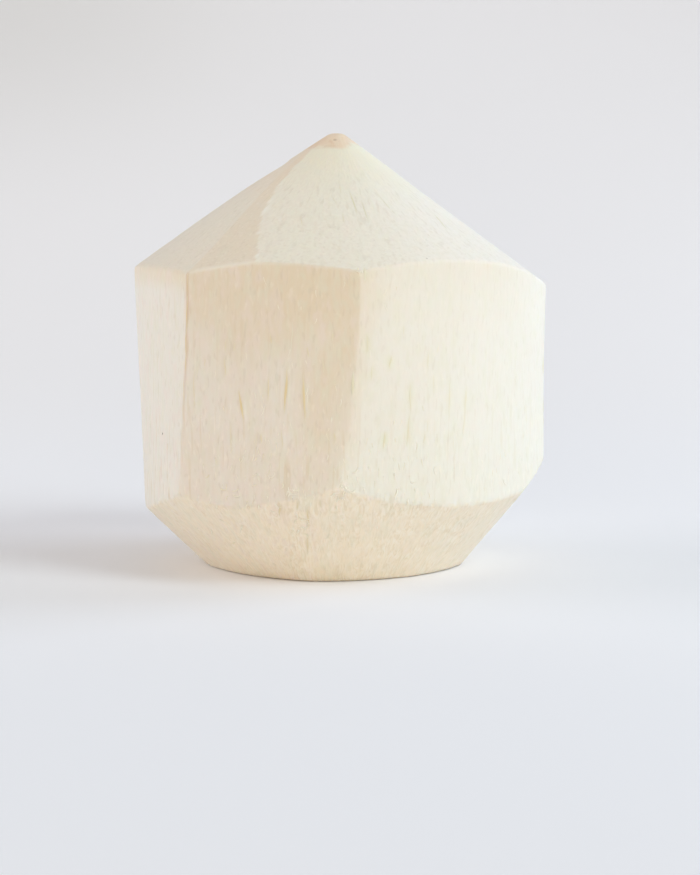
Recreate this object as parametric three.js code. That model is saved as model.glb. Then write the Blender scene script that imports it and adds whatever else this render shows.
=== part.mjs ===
// A young coconut trimmed by hand. The green husk has been pared away in broad knife cuts, which
// leaves one solid body of white husk: nearly flat cuts down the sides, a low cone of cuts on top,
// slanting cuts round the bottom, and a small flat foot to stand on.
//
// Millimetres and degrees, +Z up. The origin is the middle of the foot. Headings run anticlockwise
// from +X as seen from above, so the front, which looks along -Y, is at -90.

import * as THREE from "three";
import { ParametricGeometry } from "three/addons/geometries/ParametricGeometry.js";

// Heights above the foot.
const HEART_HEIGHT = 60;       // the point on the axis that every cut is measured from
const APEX_HEIGHT = 134.5;     // where the cuts of the cone would run together in a sharp point
const TIP_HEIGHT = 132.9;      // the top of the small round tip that is left there
const TIP_ROUNDING = 26;       // mm, the tip falls away by radius squared over this,
const TIP_SLOPE = 0.6;         // and never more steeply than this, so the cone takes over from it

// Cuts down the sides. "reach" is the cut's distance from the axis at the height of the heart, and
// it grows by "lean" for each millimetre above that. "roundness" runs from 0, a flat cut, to 1, a
// turned one. The knife turned a little on its way down: "twist" and "bow" are the degrees that the
// cut's heading shifts, in proportion to the slope of the line of sight from the heart and to that
// slope squared.
const SIDE_CUTS = [
  { heading: -47.5, reach: 53.6, lean: 0.010, roundness: 0.52, twist: 4.0, bow: -5.5 },   // front right
  { heading: -102.5, reach: 58.3, lean: -0.005, roundness: 0.58, twist: 3.0, bow: -5.5 }, // front left
  { heading: -160.5, reach: 59.3, lean: 0.020, roundness: 0.53, twist: 10.5, bow: 1.0 },  // left
  { heading: 160, reach: 59.0, lean: 0.015, roundness: 0.45, twist: 0, bow: 0 },          // back left
  { heading: 118, reach: 60.5, lean: 0.015, roundness: 0.45, twist: -3.0, bow: 0 },       // back
  { heading: 76, reach: 59.5, lean: 0.015, roundness: 0.45, twist: 5.0, bow: 0 },         // back right
  { heading: 32, reach: 61.8, lean: 0.015, roundness: 0.45, twist: 0, bow: 0 },           // right
];

// Cuts that make the cone. "slope" is the fall per millimetre out from the axis along the cut's
// heading; it grows by the share "crown" from the axis to the shoulder, and the heading shifts by
// "twist" degrees over the same way.
const CONE_CUTS = [
  { heading: -30, slope: 0.735, roundness: 0.93, crown: -0.01, twist: 0 },   // front and right
  { heading: -144.5, slope: 0.650, roundness: 0.86, crown: 0.075, twist: -2.5 },  // left
  { heading: 128, slope: 0.740, roundness: 0.50, crown: 0, twist: 0 },       // back left
  { heading: 62, slope: 0.760, roundness: 0.50, crown: 0, twist: 0 },        // back right
];

// Slanting cuts below the sides. "foot" is the cut's distance from the axis where it meets the
// surface that the nut stands on, and it grows by "flare" for each millimetre above that.
const CHEEK_CUTS = [
  { heading: -66, foot: 35.0, flare: 0.76, roundness: 0.74 },
  { heading: -119, foot: 36.5, flare: 0.95, roundness: 0.77 },
  { heading: -170, foot: 40.5, flare: 1.06, roundness: 0.80 },
  { heading: 125, foot: 40.0, flare: 0.90, roundness: 0.80 },
  { heading: 60, foot: 40.0, flare: 0.85, roundness: 0.80 },
  { heading: 0, foot: 40.0, flare: 0.80, roundness: 0.80 },
];

const EDGE_SHARPNESS = 220;    // the higher, the crisper the edges between cuts
const SHOULDER_RADIUS = 60;    // about how far the shoulder is from the axis
const MEAN_CONE_SLOPE = 0.7;

const COLUMNS = 108;           // mesh columns round the nut
const FOOT_ROWS = 3;
const CHEEK_ROWS = 5;
const SIDE_ROWS = 8;
const CONE_ROWS = 11;

const HUSK_COLOUR = "#eee5d0";

const radians = THREE.MathUtils.degToRad;

// Degrees from a cut's heading to the heading looked at, as radians from -PI to PI.
function turnFrom(cutHeading, heading) {
  return radians(THREE.MathUtils.euclideanModulo(heading - cutHeading + 180, 360) - 180);
}

// How much of a cut's reach is met at a turn away from its heading.
function facing(roundness, turn) {
  return roundness + (1 - roundness) * Math.cos(turn);
}

// The functions below give the nearness of a cut: one over its distance from the heart along a line
// that rises at an angle "rise" (radians) over a heading (degrees).

function sideNearness(cut, heading, rise) {
  const slope = THREE.MathUtils.clamp(Math.tan(rise), -1, 1);
  const turn = turnFrom(cut.heading + cut.twist * slope + cut.bow * slope ** 2, heading);
  if (Math.abs(turn) > Math.PI / 2) return 0;
  return (Math.cos(rise) * facing(cut.roundness, turn) - cut.lean * Math.sin(rise)) / cut.reach;
}

// How far out towards the shoulder the cone is met, from 0 at the axis to about 1.
function wayOut(rise) {
  const drop = Math.sin(rise) + MEAN_CONE_SLOPE * Math.cos(rise);
  return Math.cos(rise) * (APEX_HEIGHT - HEART_HEIGHT) / drop / SHOULDER_RADIUS;
}

function coneNearness(cut, heading, rise) {
  const out = wayOut(rise);
  const turn = turnFrom(cut.heading + cut.twist * out, heading);
  const slope = cut.slope * (1 + cut.crown * out) * facing(cut.roundness, turn);
  return (Math.sin(rise) + slope * Math.cos(rise)) / (APEX_HEIGHT - HEART_HEIGHT);
}

function tipNearness(rise) {
  const slope = Math.min(wayOut(rise) * SHOULDER_RADIUS / TIP_ROUNDING, TIP_SLOPE);
  return (Math.sin(rise) + slope * Math.cos(rise)) / (TIP_HEIGHT - HEART_HEIGHT);
}

function cheekNearness(cut, heading, rise) {
  const across = Math.cos(rise) * facing(cut.roundness, turnFrom(cut.heading, heading));
  return (across - cut.flare * Math.sin(rise)) / (cut.foot + cut.flare * HEART_HEIGHT);
}

// Each group gives the nearness of all its cuts. The cone is only looked at from above the heart,
// and the cheeks and the foot from below it.
const sides = (heading, rise) => SIDE_CUTS.map((cut) => sideNearness(cut, heading, rise));
const cone = (heading, rise) => rise > 0 ? CONE_CUTS.map((cut) => coneNearness(cut, heading, rise)) : [];
const tip = (heading, rise) => rise > 0 ? [tipNearness(rise)] : [];
const cheeks = (heading, rise) => rise < 0 ? CHEEK_CUTS.map((cut) => cheekNearness(cut, heading, rise)) : [];
const foot = (heading, rise) => rise < 0 ? [-Math.sin(rise) / HEART_HEIGHT] : [];

// Distance from the heart to the surface. The nearest cut sets it, and where two cuts come close
// together the sum takes the sharp edge off between them.
function surfaceDistance(heading, rise) {
  const nearness = [sides, cone, tip, cheeks, foot].flatMap((group) => group(heading, rise));
  const nearest = Math.max(...nearness);
  const crowding = nearness.reduce((sum, one) => sum + Math.max(one / nearest, 0) ** EDGE_SHARPNESS, 0);
  return 1 / (nearest * crowding ** (1 / EDGE_SHARPNESS));
}

// The rise at which one group of cuts gives way to the group above it, between two rises.
function edgeRise(heading, below, above, low, high) {
  while (high - low > 1e-9) {
    const middle = (low + high) / 2;
    const stillBelow = Math.max(...below(heading, middle)) > Math.max(...above(heading, middle));
    if (stillBelow) low = middle;
    else high = middle;
  }
  return low;
}

// The edges that the mesh rows follow, as rises over one heading.
function edgesAt(heading) {
  return {
    footRim: edgeRise(heading, foot, cheeks, radians(-85), radians(-30)),
    cheekEdge: edgeRise(heading, cheeks, sides, radians(-50), radians(-1)),
    shoulder: edgeRise(heading, sides, cone, radians(5), radians(70)),
  };
}

// Shares of a band of the surface, crowded towards both of its edges.
const crowded = (share) => (1 - Math.cos(Math.PI * share)) / 2;

// Distance from the axis and height of one row of the mesh over a heading.
function profilePoint(heading, row) {
  const { footRim, cheekEdge, shoulder } = edgesAt(heading);
  if (row < FOOT_ROWS) {
    const share = 1 - (1 - row / FOOT_ROWS) ** 3;
    return { radius: share * HEART_HEIGHT / Math.tan(-footRim), height: 0 };
  }
  const bands = [
    { rows: CHEEK_ROWS, from: footRim, to: cheekEdge },
    { rows: SIDE_ROWS, from: cheekEdge, to: shoulder },
    { rows: CONE_ROWS, from: shoulder, to: Math.PI / 2 },
  ];
  let rowsLeft = row - FOOT_ROWS;
  const band = bands.find(({ rows }) => {
    if (rowsLeft <= rows) return true;
    rowsLeft -= rows;
    return false;
  });
  const rise = THREE.MathUtils.lerp(band.from, band.to, crowded(rowsLeft / band.rows));
  const distance = surfaceDistance(heading, rise);
  return { radius: distance * Math.cos(rise), height: HEART_HEIGHT + distance * Math.sin(rise) };
}

function huskGeometry() {
  const rowCount = FOOT_ROWS + CHEEK_ROWS + SIDE_ROWS + CONE_ROWS;
  const placePoint = (around, up, target) => {
    const heading = 360 * (around % 1);
    const { radius, height } = profilePoint(heading, Math.round(up * rowCount));
    const angle = radians(heading);
    target.set(radius * Math.cos(angle), radius * Math.sin(angle), height);
  };
  return new ParametricGeometry(placePoint, COLUMNS, rowCount);
}

const coconut = new THREE.Mesh(
  huskGeometry(),
  new THREE.MeshStandardMaterial({ color: HUSK_COLOUR, roughness: 0.85, metalness: 0 }),
);
coconut.name = "coconut";

const model = new THREE.Group();
model.add(coconut);

export default model;
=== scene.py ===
"""A trimmed young coconut, dressed round its fixed frame.

The husk is built on a fine mesh from the same knife cuts as the solid, with the grain, slits and
torn edges that a knife leaves in fibrous husk. The strands that lie bare in its slits are a piece of
their own, and so are the lying fibres, the curled ones, the tufts and the rim hairs, which all grow
along its grain.

Cuts and marks are given in millimetres and degrees and turned into metres once, in the mesh.
Headings run anticlockwise from +X as seen from above, so the front of the nut is at -90.
"""

import math
from collections import namedtuple
from types import SimpleNamespace

import bpy
import numpy as np
from bpy.props import FloatProperty, FloatVectorProperty, IntProperty, PointerProperty
from mathutils import Euler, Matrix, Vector


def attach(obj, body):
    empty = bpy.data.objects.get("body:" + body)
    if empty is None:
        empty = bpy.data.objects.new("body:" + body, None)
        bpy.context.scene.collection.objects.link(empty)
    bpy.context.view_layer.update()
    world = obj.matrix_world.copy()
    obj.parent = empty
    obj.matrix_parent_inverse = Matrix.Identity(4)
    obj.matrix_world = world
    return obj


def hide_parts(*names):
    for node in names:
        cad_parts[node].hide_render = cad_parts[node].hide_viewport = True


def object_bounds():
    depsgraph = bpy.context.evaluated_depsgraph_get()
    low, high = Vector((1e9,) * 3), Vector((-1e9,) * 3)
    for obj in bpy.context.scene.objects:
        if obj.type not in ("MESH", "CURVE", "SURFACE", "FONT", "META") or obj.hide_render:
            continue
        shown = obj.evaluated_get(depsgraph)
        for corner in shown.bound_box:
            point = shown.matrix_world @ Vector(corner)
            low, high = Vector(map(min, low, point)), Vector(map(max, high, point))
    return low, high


bl_info = {
    "name": "Trimmed Coconut",
    "version": (1, 0, 0),
    "blender": (4, 5, 0),
    "location": "3D View > Sidebar > Coconut",
    "description": "Dresses a trimmed young coconut: cut husk, loose fibres, shavings and a studio",
    "category": "Object",
}

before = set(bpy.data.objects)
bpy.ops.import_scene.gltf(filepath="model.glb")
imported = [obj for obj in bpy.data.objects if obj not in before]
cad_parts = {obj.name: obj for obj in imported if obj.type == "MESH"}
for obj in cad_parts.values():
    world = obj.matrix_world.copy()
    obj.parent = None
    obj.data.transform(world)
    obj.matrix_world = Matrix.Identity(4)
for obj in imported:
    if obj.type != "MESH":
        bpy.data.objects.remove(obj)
CAD_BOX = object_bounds()

MM = 0.001
BODY = "root"
NODE = "coconut"
HUSK_NAME = "cut_husk"
STRANDS_NAME = "bare_strands"

# ---------------------------------------------------------------------------------------------
# The knife cuts, as on the solid.

HEART_HEIGHT = 60.0
APEX_HEIGHT = 134.5
TIP_HEIGHT = 132.9
TIP_ROUNDING = 26.0
TIP_SLOPE = 0.6
SHOULDER_RADIUS = 60.0
MEAN_CONE_SLOPE = 0.7
EDGE_SHARPNESS = 450.0

SideCut = namedtuple("SideCut", "heading reach lean roundness twist bow coarseness")
ConeCut = namedtuple("ConeCut", "heading slope roundness crown twist")
CheekCut = namedtuple("CheekCut", "heading foot flare roundness")

SIDE_CUTS = [
    SideCut(-47.5, 53.6, 0.010, 0.52, 4.0, -5.5, 0.35),    # front right
    SideCut(-102.5, 58.3, -0.005, 0.58, 3.0, -5.5, 0.75),  # front left
    SideCut(-160.5, 59.3, 0.020, 0.53, 10.5, 1.0, 0.35),   # left
    SideCut(160.0, 59.0, 0.015, 0.45, 0.0, 0.0, 0.60),     # back left
    SideCut(118.0, 60.5, 0.015, 0.45, -3.0, 0.0, 0.80),    # back
    SideCut(76.0, 59.5, 0.015, 0.45, 5.0, 0.0, 0.60),      # back right
    SideCut(32.0, 61.8, 0.015, 0.45, 0.0, 0.0, 0.40),      # right
]
CONE_CUTS = [
    ConeCut(-30.0, 0.735, 0.93, -0.01, 0.0),         # front and right
    ConeCut(-144.5, 0.650, 0.86, 0.075, -2.5),       # left
    ConeCut(128.0, 0.740, 0.50, 0.0, 0.0),           # back left
    ConeCut(62.0, 0.760, 0.50, 0.0, 0.0),            # back right
]
RIGHT_CUT, FRONT_LEFT_CUT, LEFT_CUT = SIDE_CUTS[:3]
FRONT_CONE, LEFT_CONE = CONE_CUTS[:2]
CHEEK_CUTS = [
    CheekCut(-66.0, 35.0, 0.76, 0.74),
    CheekCut(-119.0, 36.5, 0.95, 0.77),
    CheekCut(-170.0, 40.5, 1.06, 0.80),
    CheekCut(125.0, 40.0, 0.90, 0.80),
    CheekCut(60.0, 40.0, 0.85, 0.80),
    CheekCut(0.0, 40.0, 0.80, 0.80),
]

# ---------------------------------------------------------------------------------------------
# Marks in the husk. A slit follows the grain from its upper end to its lower end.

Slit = namedtuple("Slit", "heading top lower_heading bottom width strength")

# Slits in the sides, where a darker strand shows: strength 1 is the boldest of them.
SIDE_SLITS = [
    Slit(-117.6, 58.2, -116.2, 49.2, 0.85, 1.00),
    Slit(-103.6, 65.0, -104.0, 51.6, 0.90, 1.00),
    Slit(-98.9, 63.2, -98.2, 49.6, 0.90, 0.90),
    Slit(-108.9, 62.4, -108.9, 54.9, 0.60, 0.50),
    Slit(-108.4, 74.6, -108.1, 71.2, 0.62, 0.60),
    Slit(-121.4, 73.0, -121.7, 68.4, 0.55, 0.35),
    Slit(-121.8, 67.8, -122.0, 61.4, 0.66, 0.45),
    Slit(-118.9, 72.2, -118.9, 68.8, 0.50, 0.35),
    Slit(-131.1, 64.0, -131.6, 50.8, 0.40, 0.35),
    Slit(-128.0, 67.0, -128.0, 64.3, 0.40, 0.35),
    Slit(-97.8, 71.4, -97.3, 67.7, 0.56, 0.50),
    Slit(-91.0, 75.4, -90.7, 72.6, 0.50, 0.40),
    Slit(-93.3, 68.2, -93.4, 63.6, 0.46, 0.40),
    Slit(-120.2, 48.7, -120.0, 39.9, 0.50, 0.35),
    Slit(-112.5, 46.0, -112.6, 38.5, 0.42, 0.25),
    Slit(-111.0, 46.0, -111.0, 43.0, 0.66, 0.45),
    Slit(-104.9, 47.4, -104.9, 41.6, 0.44, 0.30),
    Slit(-89.8, 47.1, -90.0, 44.4, 0.60, 0.50),
    Slit(-84.9, 64.2, -85.2, 57.0, 1.10, 0.50),
    Slit(-81.9, 93.4, -81.9, 89.4, 0.90, 0.40),
    Slit(-81.3, 75.2, -80.8, 69.0, 0.60, 0.42),
    Slit(-79.3, 65.8, -79.7, 61.2, 0.70, 0.30),
    Slit(-73.4, 68.5, -74.1, 64.5, 0.70, 0.52),
    Slit(-60.4, 69.3, -60.5, 63.9, 0.80, 0.22),
    Slit(-69.5, 77.1, -69.4, 74.2, 0.60, 0.20),
    Slit(-66.7, 60.6, -66.8, 51.6, 0.75, 0.42),
    Slit(-67.0, 51.4, -67.8, 41.8, 0.75, 0.42),
    Slit(-51.5, 60.8, -51.3, 49.2, 0.55, 0.26),
    Slit(-44.3, 57.8, -44.2, 50.4, 1.20, 0.26),
    Slit(-44.6, 51.4, -45.1, 43.6, 0.65, 0.20),
    Slit(-75.2, 47.0, -75.4, 41.8, 0.75, 0.60),
    Slit(-61.1, 45.5, -61.2, 42.5, 0.70, 0.22),
    Slit(-97.7, 25.0, -98.4, 18.4, 0.70, 0.80),
    Slit(-98.8, 16.6, -100.2, 8.8, 0.70, 0.60),
    Slit(-105.6, 25.9, -106.6, 21.8, 0.80, 0.80),
    Slit(-100.0, 27.4, -101.2, 23.6, 0.60, 0.60),
    Slit(-94.1, 27.6, -93.6, 24.6, 0.50, 0.50),
]
CONE_SLITS = [
    Slit(-81.7, 115.6, -80.3, 108.0, 0.50, 0.55),
    Slit(-76.3, 112.4, -76.0, 106.5, 0.44, 0.42),
    Slit(-64.9, 116.3, -60.5, 107.5, 0.36, 0.26),
    Slit(-34.1, 108.3, -37.2, 104.0, 0.70, 0.50),
    Slit(-88.4, 118.6, -87.0, 113.8, 0.36, 0.24),
    Slit(-92.8, 114.0, -89.6, 111.0, 0.36, 0.30),
    Slit(-87.1, 108.7, -86.6, 105.6, 0.36, 0.26),
    Slit(-105.7, 108.2, -103.1, 104.6, 0.36, 0.26),
]
# The long split where two side cuts meet at the left, from its top end down, strand by strand.
SPLIT_SLITS = [
    Slit(-133.7, 92.6, -133.7, 82.0, 0.44, 0.80),
    Slit(-133.65, 84.5, -133.9, 73.0, 0.62, 1.00),
    Slit(-134.0, 75.0, -133.8, 66.5, 0.54, 0.95),
    Slit(-133.8, 68.2, -134.4, 61.5, 0.44, 0.75),
    Slit(-134.6, 62.0, -134.9, 53.0, 0.40, 0.60),
    Slit(-135.2, 54.5, -135.2, 47.5, 0.36, 0.40),
    Slit(-135.4, 46.0, -135.9, 38.0, 0.34, 0.25),
]
# Where the split runs, as heights and headings, and how open it is, as heights and shares.
SPLIT_HEADINGS = ((30.0, -136.2), (54.0, -134.8), (69.0, -133.75), (92.0, -133.75))
SPLIT_OPENING = (
    (33.0, 0.0), (48.0, 0.20), (66.0, 0.48), (74.0, 0.75), (81.0, 1.0), (91.0, 1.0), (93.5, 0.2))

Speck = namedtuple("Speck", "heading height breadth darkness")
Tuft = namedtuple("Tuft", "heading height breadth")

# Small dark specks.
SPECKS = (
    Speck(-148.2, 43.3, 0.50, 0.85),
    Speck(-102.0, 27.6, 0.45, 0.25),
    Speck(-60.8, 95.8, 0.40, 0.40),
    Speck(-96.0, 131.6, 0.90, 0.28),
)
# Places where torn fibre stands up in a tuft.
TUFTS = (
    Tuft(-87.2, 31.0, 1.6),
    Tuft(-89.4, 28.6, 1.3),
    Tuft(-101.6, 29.6, 1.2),
    Tuft(-99.8, 19.5, 2.2),
    Tuft(-83.4, 92.4, 1.0),
)

SPARE_SLITS = 90                # slits at random places, most of them round the back
CHOSEN_HEADINGS = (-160, -15)   # the front, where the listed slits are and few spare ones are kept

# ---------------------------------------------------------------------------------------------
# The fine mesh.

COLUMNS = 840           # halved twice on the way to the tip and to the middle of the foot
CHEEK_ROWS = 24
SIDE_ROWS = 44
CONE_ROWS = 48
HALVE_AT_RADII = (31.0, 14.0)   # mm from the axis where a ring of the cone drops to half its columns
# Rings of the foot from its middle out: their share of the rim's radius, and how many of the husk's
# columns go to one of theirs.
FOOT_RINGS = ((0.20, 4), (0.45, 4), (0.70, 2), (0.90, 2), (0.97, 1))
BARE_ON_FOOT = ("torn", "fibrous", "curly", "tufted", "rim")
EDGE_CROWDING = 0.55    # how far the rows crowd towards the edges between bands
FOOT_GRAIN = 40.0       # mm of grain from the middle of the foot to its rim
EDGE_STEPS = 40         # halvings that find the edge between two bands
SPOT_STEPS = 30         # halvings that find a height on the husk
LOWEST_RISE, HIGHEST_RISE = -0.9, 1.5   # radians between which a height is looked for

FIBRE_MARGIN = 0.0002   # m that fibres keep inside the solid's own box
SLIT_DEPTH = 0.07       # mm, of the boldest slit
SPLIT_DEPTH = 0.08      # mm, of the long split
SAP_SPREAD = 2.6        # how much wider than a slit the sap beside it reaches
LIP_OFFSET = 0.8        # mm from a slit to the fibre raised beside it
FRINGE_DEPTH = 0.45     # mm, of the torn strands along the cheeks
SHOULDER_BLUR = 0.006   # radians over which the finish of the sides gives way to the cone's

STRAND_RINGS = 14
STRAND_SIDES = 6
STRAND_PROUD = 0.015    # mm that a strand's spine lies above the husk beside its slit
STRAND_SEAT = 0.03      # mm that its edges lie below the floor of the slit
STRAND_POINT = 0.3      # how far its pointed ends reach past the last ring, as a share of a step

# Each side cut and each cheek has noise of its own, a step of seeds away from the one before it. The
# cuts of the cone share theirs.
SIDE_SEED, CONE_SEED, CHEEK_SEED, SEED_STEP = 100, 500, 800, 31

GIRTH = 2 * math.pi * SHOULDER_RADIUS


# ---------------------------------------------------------------------------------------------
# Noise on arrays. Everything is seeded, so each run makes the same nut.

def scramble(column, row, seed):
    """A repeatable number from 0 to 1 for each whole column and row."""
    value = (column.astype(np.int64) * 374761393 + row.astype(np.int64) * 668265263
             + int(seed) * 2246822519) & 0xFFFFFFFF
    value = ((value ^ (value >> 13)) * 1274126177) & 0xFFFFFFFF
    value = ((value ^ (value >> 15)) * 2654435761) & 0xFFFFFFFF
    return (value ^ (value >> 16)) / float(0xFFFFFFFF)


def ease(share):
    return share * share * (3 - 2 * share)


def ramp(value, start, end):
    """Runs smoothly from 0 at start to 1 at end."""
    return ease(np.clip((value - start) / (end - start), 0, 1))


def fade(value, start, end):
    """Runs smoothly from 1 at start to 0 at end."""
    return 1 - ramp(value, start, end)


def peak(value, centre, breadth):
    """1 at the centre, less and less away from it on either side."""
    return np.exp(-((value - centre) / breadth) ** 2)


def strand_noise(heading, along, width, length, seed):
    """Noise from -1 to 1 in strands that run along the grain, each with lengths of its own."""
    cells = max(int(round(GIRTH / width)), 3)
    place = np.asarray(heading) / 360.0 * cells
    left = np.floor(place)
    across = ease(place - left)

    def strand(column):
        column = np.mod(column, cells)
        spot = along / length + 97 * scramble(column, np.zeros_like(column), seed)
        start = np.floor(spot)
        share = ease(spot - start)
        low = scramble(column, start, seed + 1)
        return low + (scramble(column, start + 1, seed + 1) - low) * share

    first = strand(left)
    return 2 * (first + (strand(left + 1) - first) * across) - 1


def patch_noise(heading, along, size, seed):
    """Smooth noise from -1 to 1 in round patches."""
    cells = max(int(round(GIRTH / size)), 3)
    x = np.asarray(heading) / 360.0 * cells
    y = along / size
    left, low = np.floor(x), np.floor(y)
    across, up = ease(x - left), ease(y - low)

    def corner(dx, dy):
        return scramble(np.mod(left + dx, cells), low + dy, seed)

    below = corner(0, 0) + (corner(1, 0) - corner(0, 0)) * across
    above = corner(0, 1) + (corner(1, 1) - corner(0, 1)) * across
    return 2 * (below + (above - below) * up) - 1


# ---------------------------------------------------------------------------------------------
# The cut surface. A nearness is one over a cut's distance from the heart, along a line that rises
# at an angle "rise" (radians) over a heading (degrees).

def turn_from(cut_heading, heading):
    return np.radians(np.mod(heading - cut_heading + 180, 360) - 180)


def arc_from(centre, heading):
    """Millimetres round the shoulder from one heading to another."""
    return np.degrees(turn_from(centre, heading)) / 360 * GIRTH


def facing(roundness, turn):
    return roundness + (1 - roundness) * np.cos(turn)


def way_out(rise):
    drop = np.sin(rise) + MEAN_CONE_SLOPE * np.cos(rise)
    return np.cos(rise) * (APEX_HEIGHT - HEART_HEIGHT) / drop / SHOULDER_RADIUS


def side_nearness(cut, heading, rise):
    slope = np.clip(np.tan(rise), -1, 1)
    turn = turn_from(cut.heading + cut.twist * slope + cut.bow * slope ** 2, heading)
    near = (np.cos(rise) * facing(cut.roundness, turn) - cut.lean * np.sin(rise)) / cut.reach
    return np.where(np.abs(turn) > math.pi / 2, 0.0, near)


def cone_nearness(cut, heading, rise):
    rise_above = np.maximum(rise, 0.0)
    out = way_out(rise_above)
    turn = turn_from(cut.heading + cut.twist * out, heading)
    slope = cut.slope * (1 + cut.crown * out) * facing(cut.roundness, turn)
    near = (np.sin(rise) + slope * np.cos(rise)) / (APEX_HEIGHT - HEART_HEIGHT)
    return np.where(rise > 0, near, 0.0)


def tip_nearness(rise):
    rise_above = np.maximum(rise, 0.0)
    slope = np.minimum(way_out(rise_above) * SHOULDER_RADIUS / TIP_ROUNDING, TIP_SLOPE)
    near = (np.sin(rise) + slope * np.cos(rise)) / (TIP_HEIGHT - HEART_HEIGHT)
    return np.where(rise > 0, near, 0.0)


def cheek_nearness(cut, heading, rise):
    across = np.cos(rise) * facing(cut.roundness, turn_from(cut.heading, heading))
    near = (across - cut.flare * np.sin(rise)) / (cut.foot + cut.flare * HEART_HEIGHT)
    return np.where(rise < 0, near, 0.0)


def foot_nearness(rise):
    return np.maximum(-np.sin(rise), 0.0) / HEART_HEIGHT


def nearest_of(cuts, nearness, heading, rise):
    return np.max([nearness(cut, heading, rise) for cut in cuts], axis=0)


def soft_distance(nearness):
    """Distance from the heart to the nearest of many cuts, rounded where two come together."""
    stack = np.array(nearness)
    nearest = stack.max(axis=0)
    crowding = (np.maximum(stack / nearest, 0.0) ** EDGE_SHARPNESS).sum(axis=0)
    return 1 / (nearest * crowding ** (1 / EDGE_SHARPNESS))


def halve(low, high, still_low, steps):
    """Closes in by halves, from a low and a high value, on the value where a test stops holding."""
    for _ in range(steps):
        middle = (low + high) / 2
        holds = still_low(middle)
        low, high = np.where(holds, middle, low), np.where(holds, high, middle)
    return low


def edge_rise(heading, below, above, lowest, highest):
    """The rise at which one group of cuts gives way to the next, between two rises in degrees."""
    return halve(np.full(heading.shape, math.radians(lowest)),
                 np.full(heading.shape, math.radians(highest)),
                 lambda rise: below(heading, rise) > above(heading, rise), EDGE_STEPS)


# ---------------------------------------------------------------------------------------------
# What the knife leaves: how far each cut's surface lies inside the smooth cut, in millimetres.

def meander(heading, height, seed):
    """A heading shifted a little, so that the strands of a cut are neither straight nor even."""
    shifted = heading + 0.7 * patch_noise(heading, height, size=7.0, seed=seed)
    return shifted + 1.6 * patch_noise(heading, height, size=26.0, seed=seed + 3)


def side_relief(heading, height, torn, coarseness, seed):
    heading = meander(heading, height, seed + 23)
    fine = strand_noise(heading, height, width=1.0, length=5.0, seed=seed)
    finer = strand_noise(heading, height, width=0.8, length=2.4, seed=seed + 7)
    coarse = strand_noise(heading, height, width=3.0, length=16.0, seed=seed + 13)
    wave = patch_noise(heading, height, size=17.0, seed=seed + 17)
    grain = 0.09 + coarseness * (0.030 * fine + 0.024 * finer) + 0.025 * coarse
    return grain * (0.35 + 1.2 * torn) + 0.10 * (1 + wave)


def cone_relief(heading, out, seed):
    heading = meander(heading, out, seed + 23)
    fine = strand_noise(heading, out, width=1.9, length=2.2, seed=seed)
    finer = strand_noise(heading, out, width=1.2, length=1.1, seed=seed + 7)
    wave = patch_noise(heading, out, size=14.0, seed=seed + 17)
    return 0.14 + 0.035 * fine + 0.030 * finer + 0.08 * (1 + wave)


def cheek_relief(heading, height, seed):
    heading = meander(heading, height, seed + 23)
    fine = strand_noise(heading, height, width=1.6, length=3.2, seed=seed)
    lumps = (patch_noise(heading, height, size=1.9, seed=seed + 7)
             + patch_noise(heading, height, size=3.6, seed=seed + 11))
    wave = patch_noise(heading, height, size=8.0, seed=seed + 17)
    return 0.26 + 0.04 * fine + 0.05 * lumps + 0.13 * (1 + wave)


def torn_share(heading, height):
    """How torn the fibres of a side are: hardly at the top, most near the cheeks."""
    drift = 9 * patch_noise(heading, height, size=13.0, seed=71)
    return 0.12 + 0.88 * fade(height + drift, 26.0, 66.0)


def fibrous_share(heading, height):
    """Where short fibres lie on the husk: here and there on a side, more of them lower down."""
    patch = 0.5 + 0.5 * patch_noise(heading, height, size=6.0, seed=75)
    return (0.10 + 0.9 * fade(height, 22.0, 70.0)) * (0.3 + patch)


def curly_share(heading, height):
    """Where torn fibres curl: in patches from the cheeks to a little above them."""
    patch = 0.5 + 0.5 * patch_noise(heading, height, size=9.0, seed=79)
    return (0.15 + patch ** 2) * ramp(height, 1.0, 8.0) * fade(height, 26.0, 44.0)


def slit_mask(slit, heading, height, wobble, spread=1.0):
    """How deep in a slit each point lies, from 0 to 1; a wider spread reaches the husk beside it."""
    share = (slit.top - height) / (slit.top - slit.bottom)
    centre = slit.heading + (slit.lower_heading - slit.heading) * np.clip(share, 0, 1)
    taper = np.sqrt(np.clip(4 * share * (1 - share), 0, 1))
    breadth = spread * (0.32 + 0.3 * slit.width * taper)
    return peak(arc_from(centre, heading) + wobble, 0.0, breadth) * taper


def slit_wobble(heading, height):
    return 0.22 * strand_noise(heading, height, width=14.0, length=3.5, seed=61)


def spare_slits():
    """Slits at random places, thinned out and fainter over the front."""
    rng = np.random.default_rng(seed=41)
    first, last = CHOSEN_HEADINGS
    slits = []
    while len(slits) < SPARE_SLITS:
        heading = rng.uniform(-180, 180)
        length = rng.uniform(2.5, 12.0)
        top = rng.uniform(38.0, 80.0)
        strength = rng.uniform(0.2, 0.85)
        turn = rng.uniform(-0.6, 0.6)
        width = rng.uniform(0.35, 0.6)
        if first < heading < last:
            if rng.random() < 0.75:
                continue
            strength *= 0.22
            width *= 0.7
        slits.append(Slit(heading, top, heading + turn, top - length, width, strength))
    return slits


# ---------------------------------------------------------------------------------------------
# The husk surface.

def sides_nearness(heading, rise):
    return nearest_of(SIDE_CUTS, side_nearness, heading, rise)


def cones_nearness(heading, rise):
    return nearest_of(CONE_CUTS, cone_nearness, heading, rise)


def cheeks_nearness(heading, rise):
    return nearest_of(CHEEK_CUTS, cheek_nearness, heading, rise)


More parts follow.
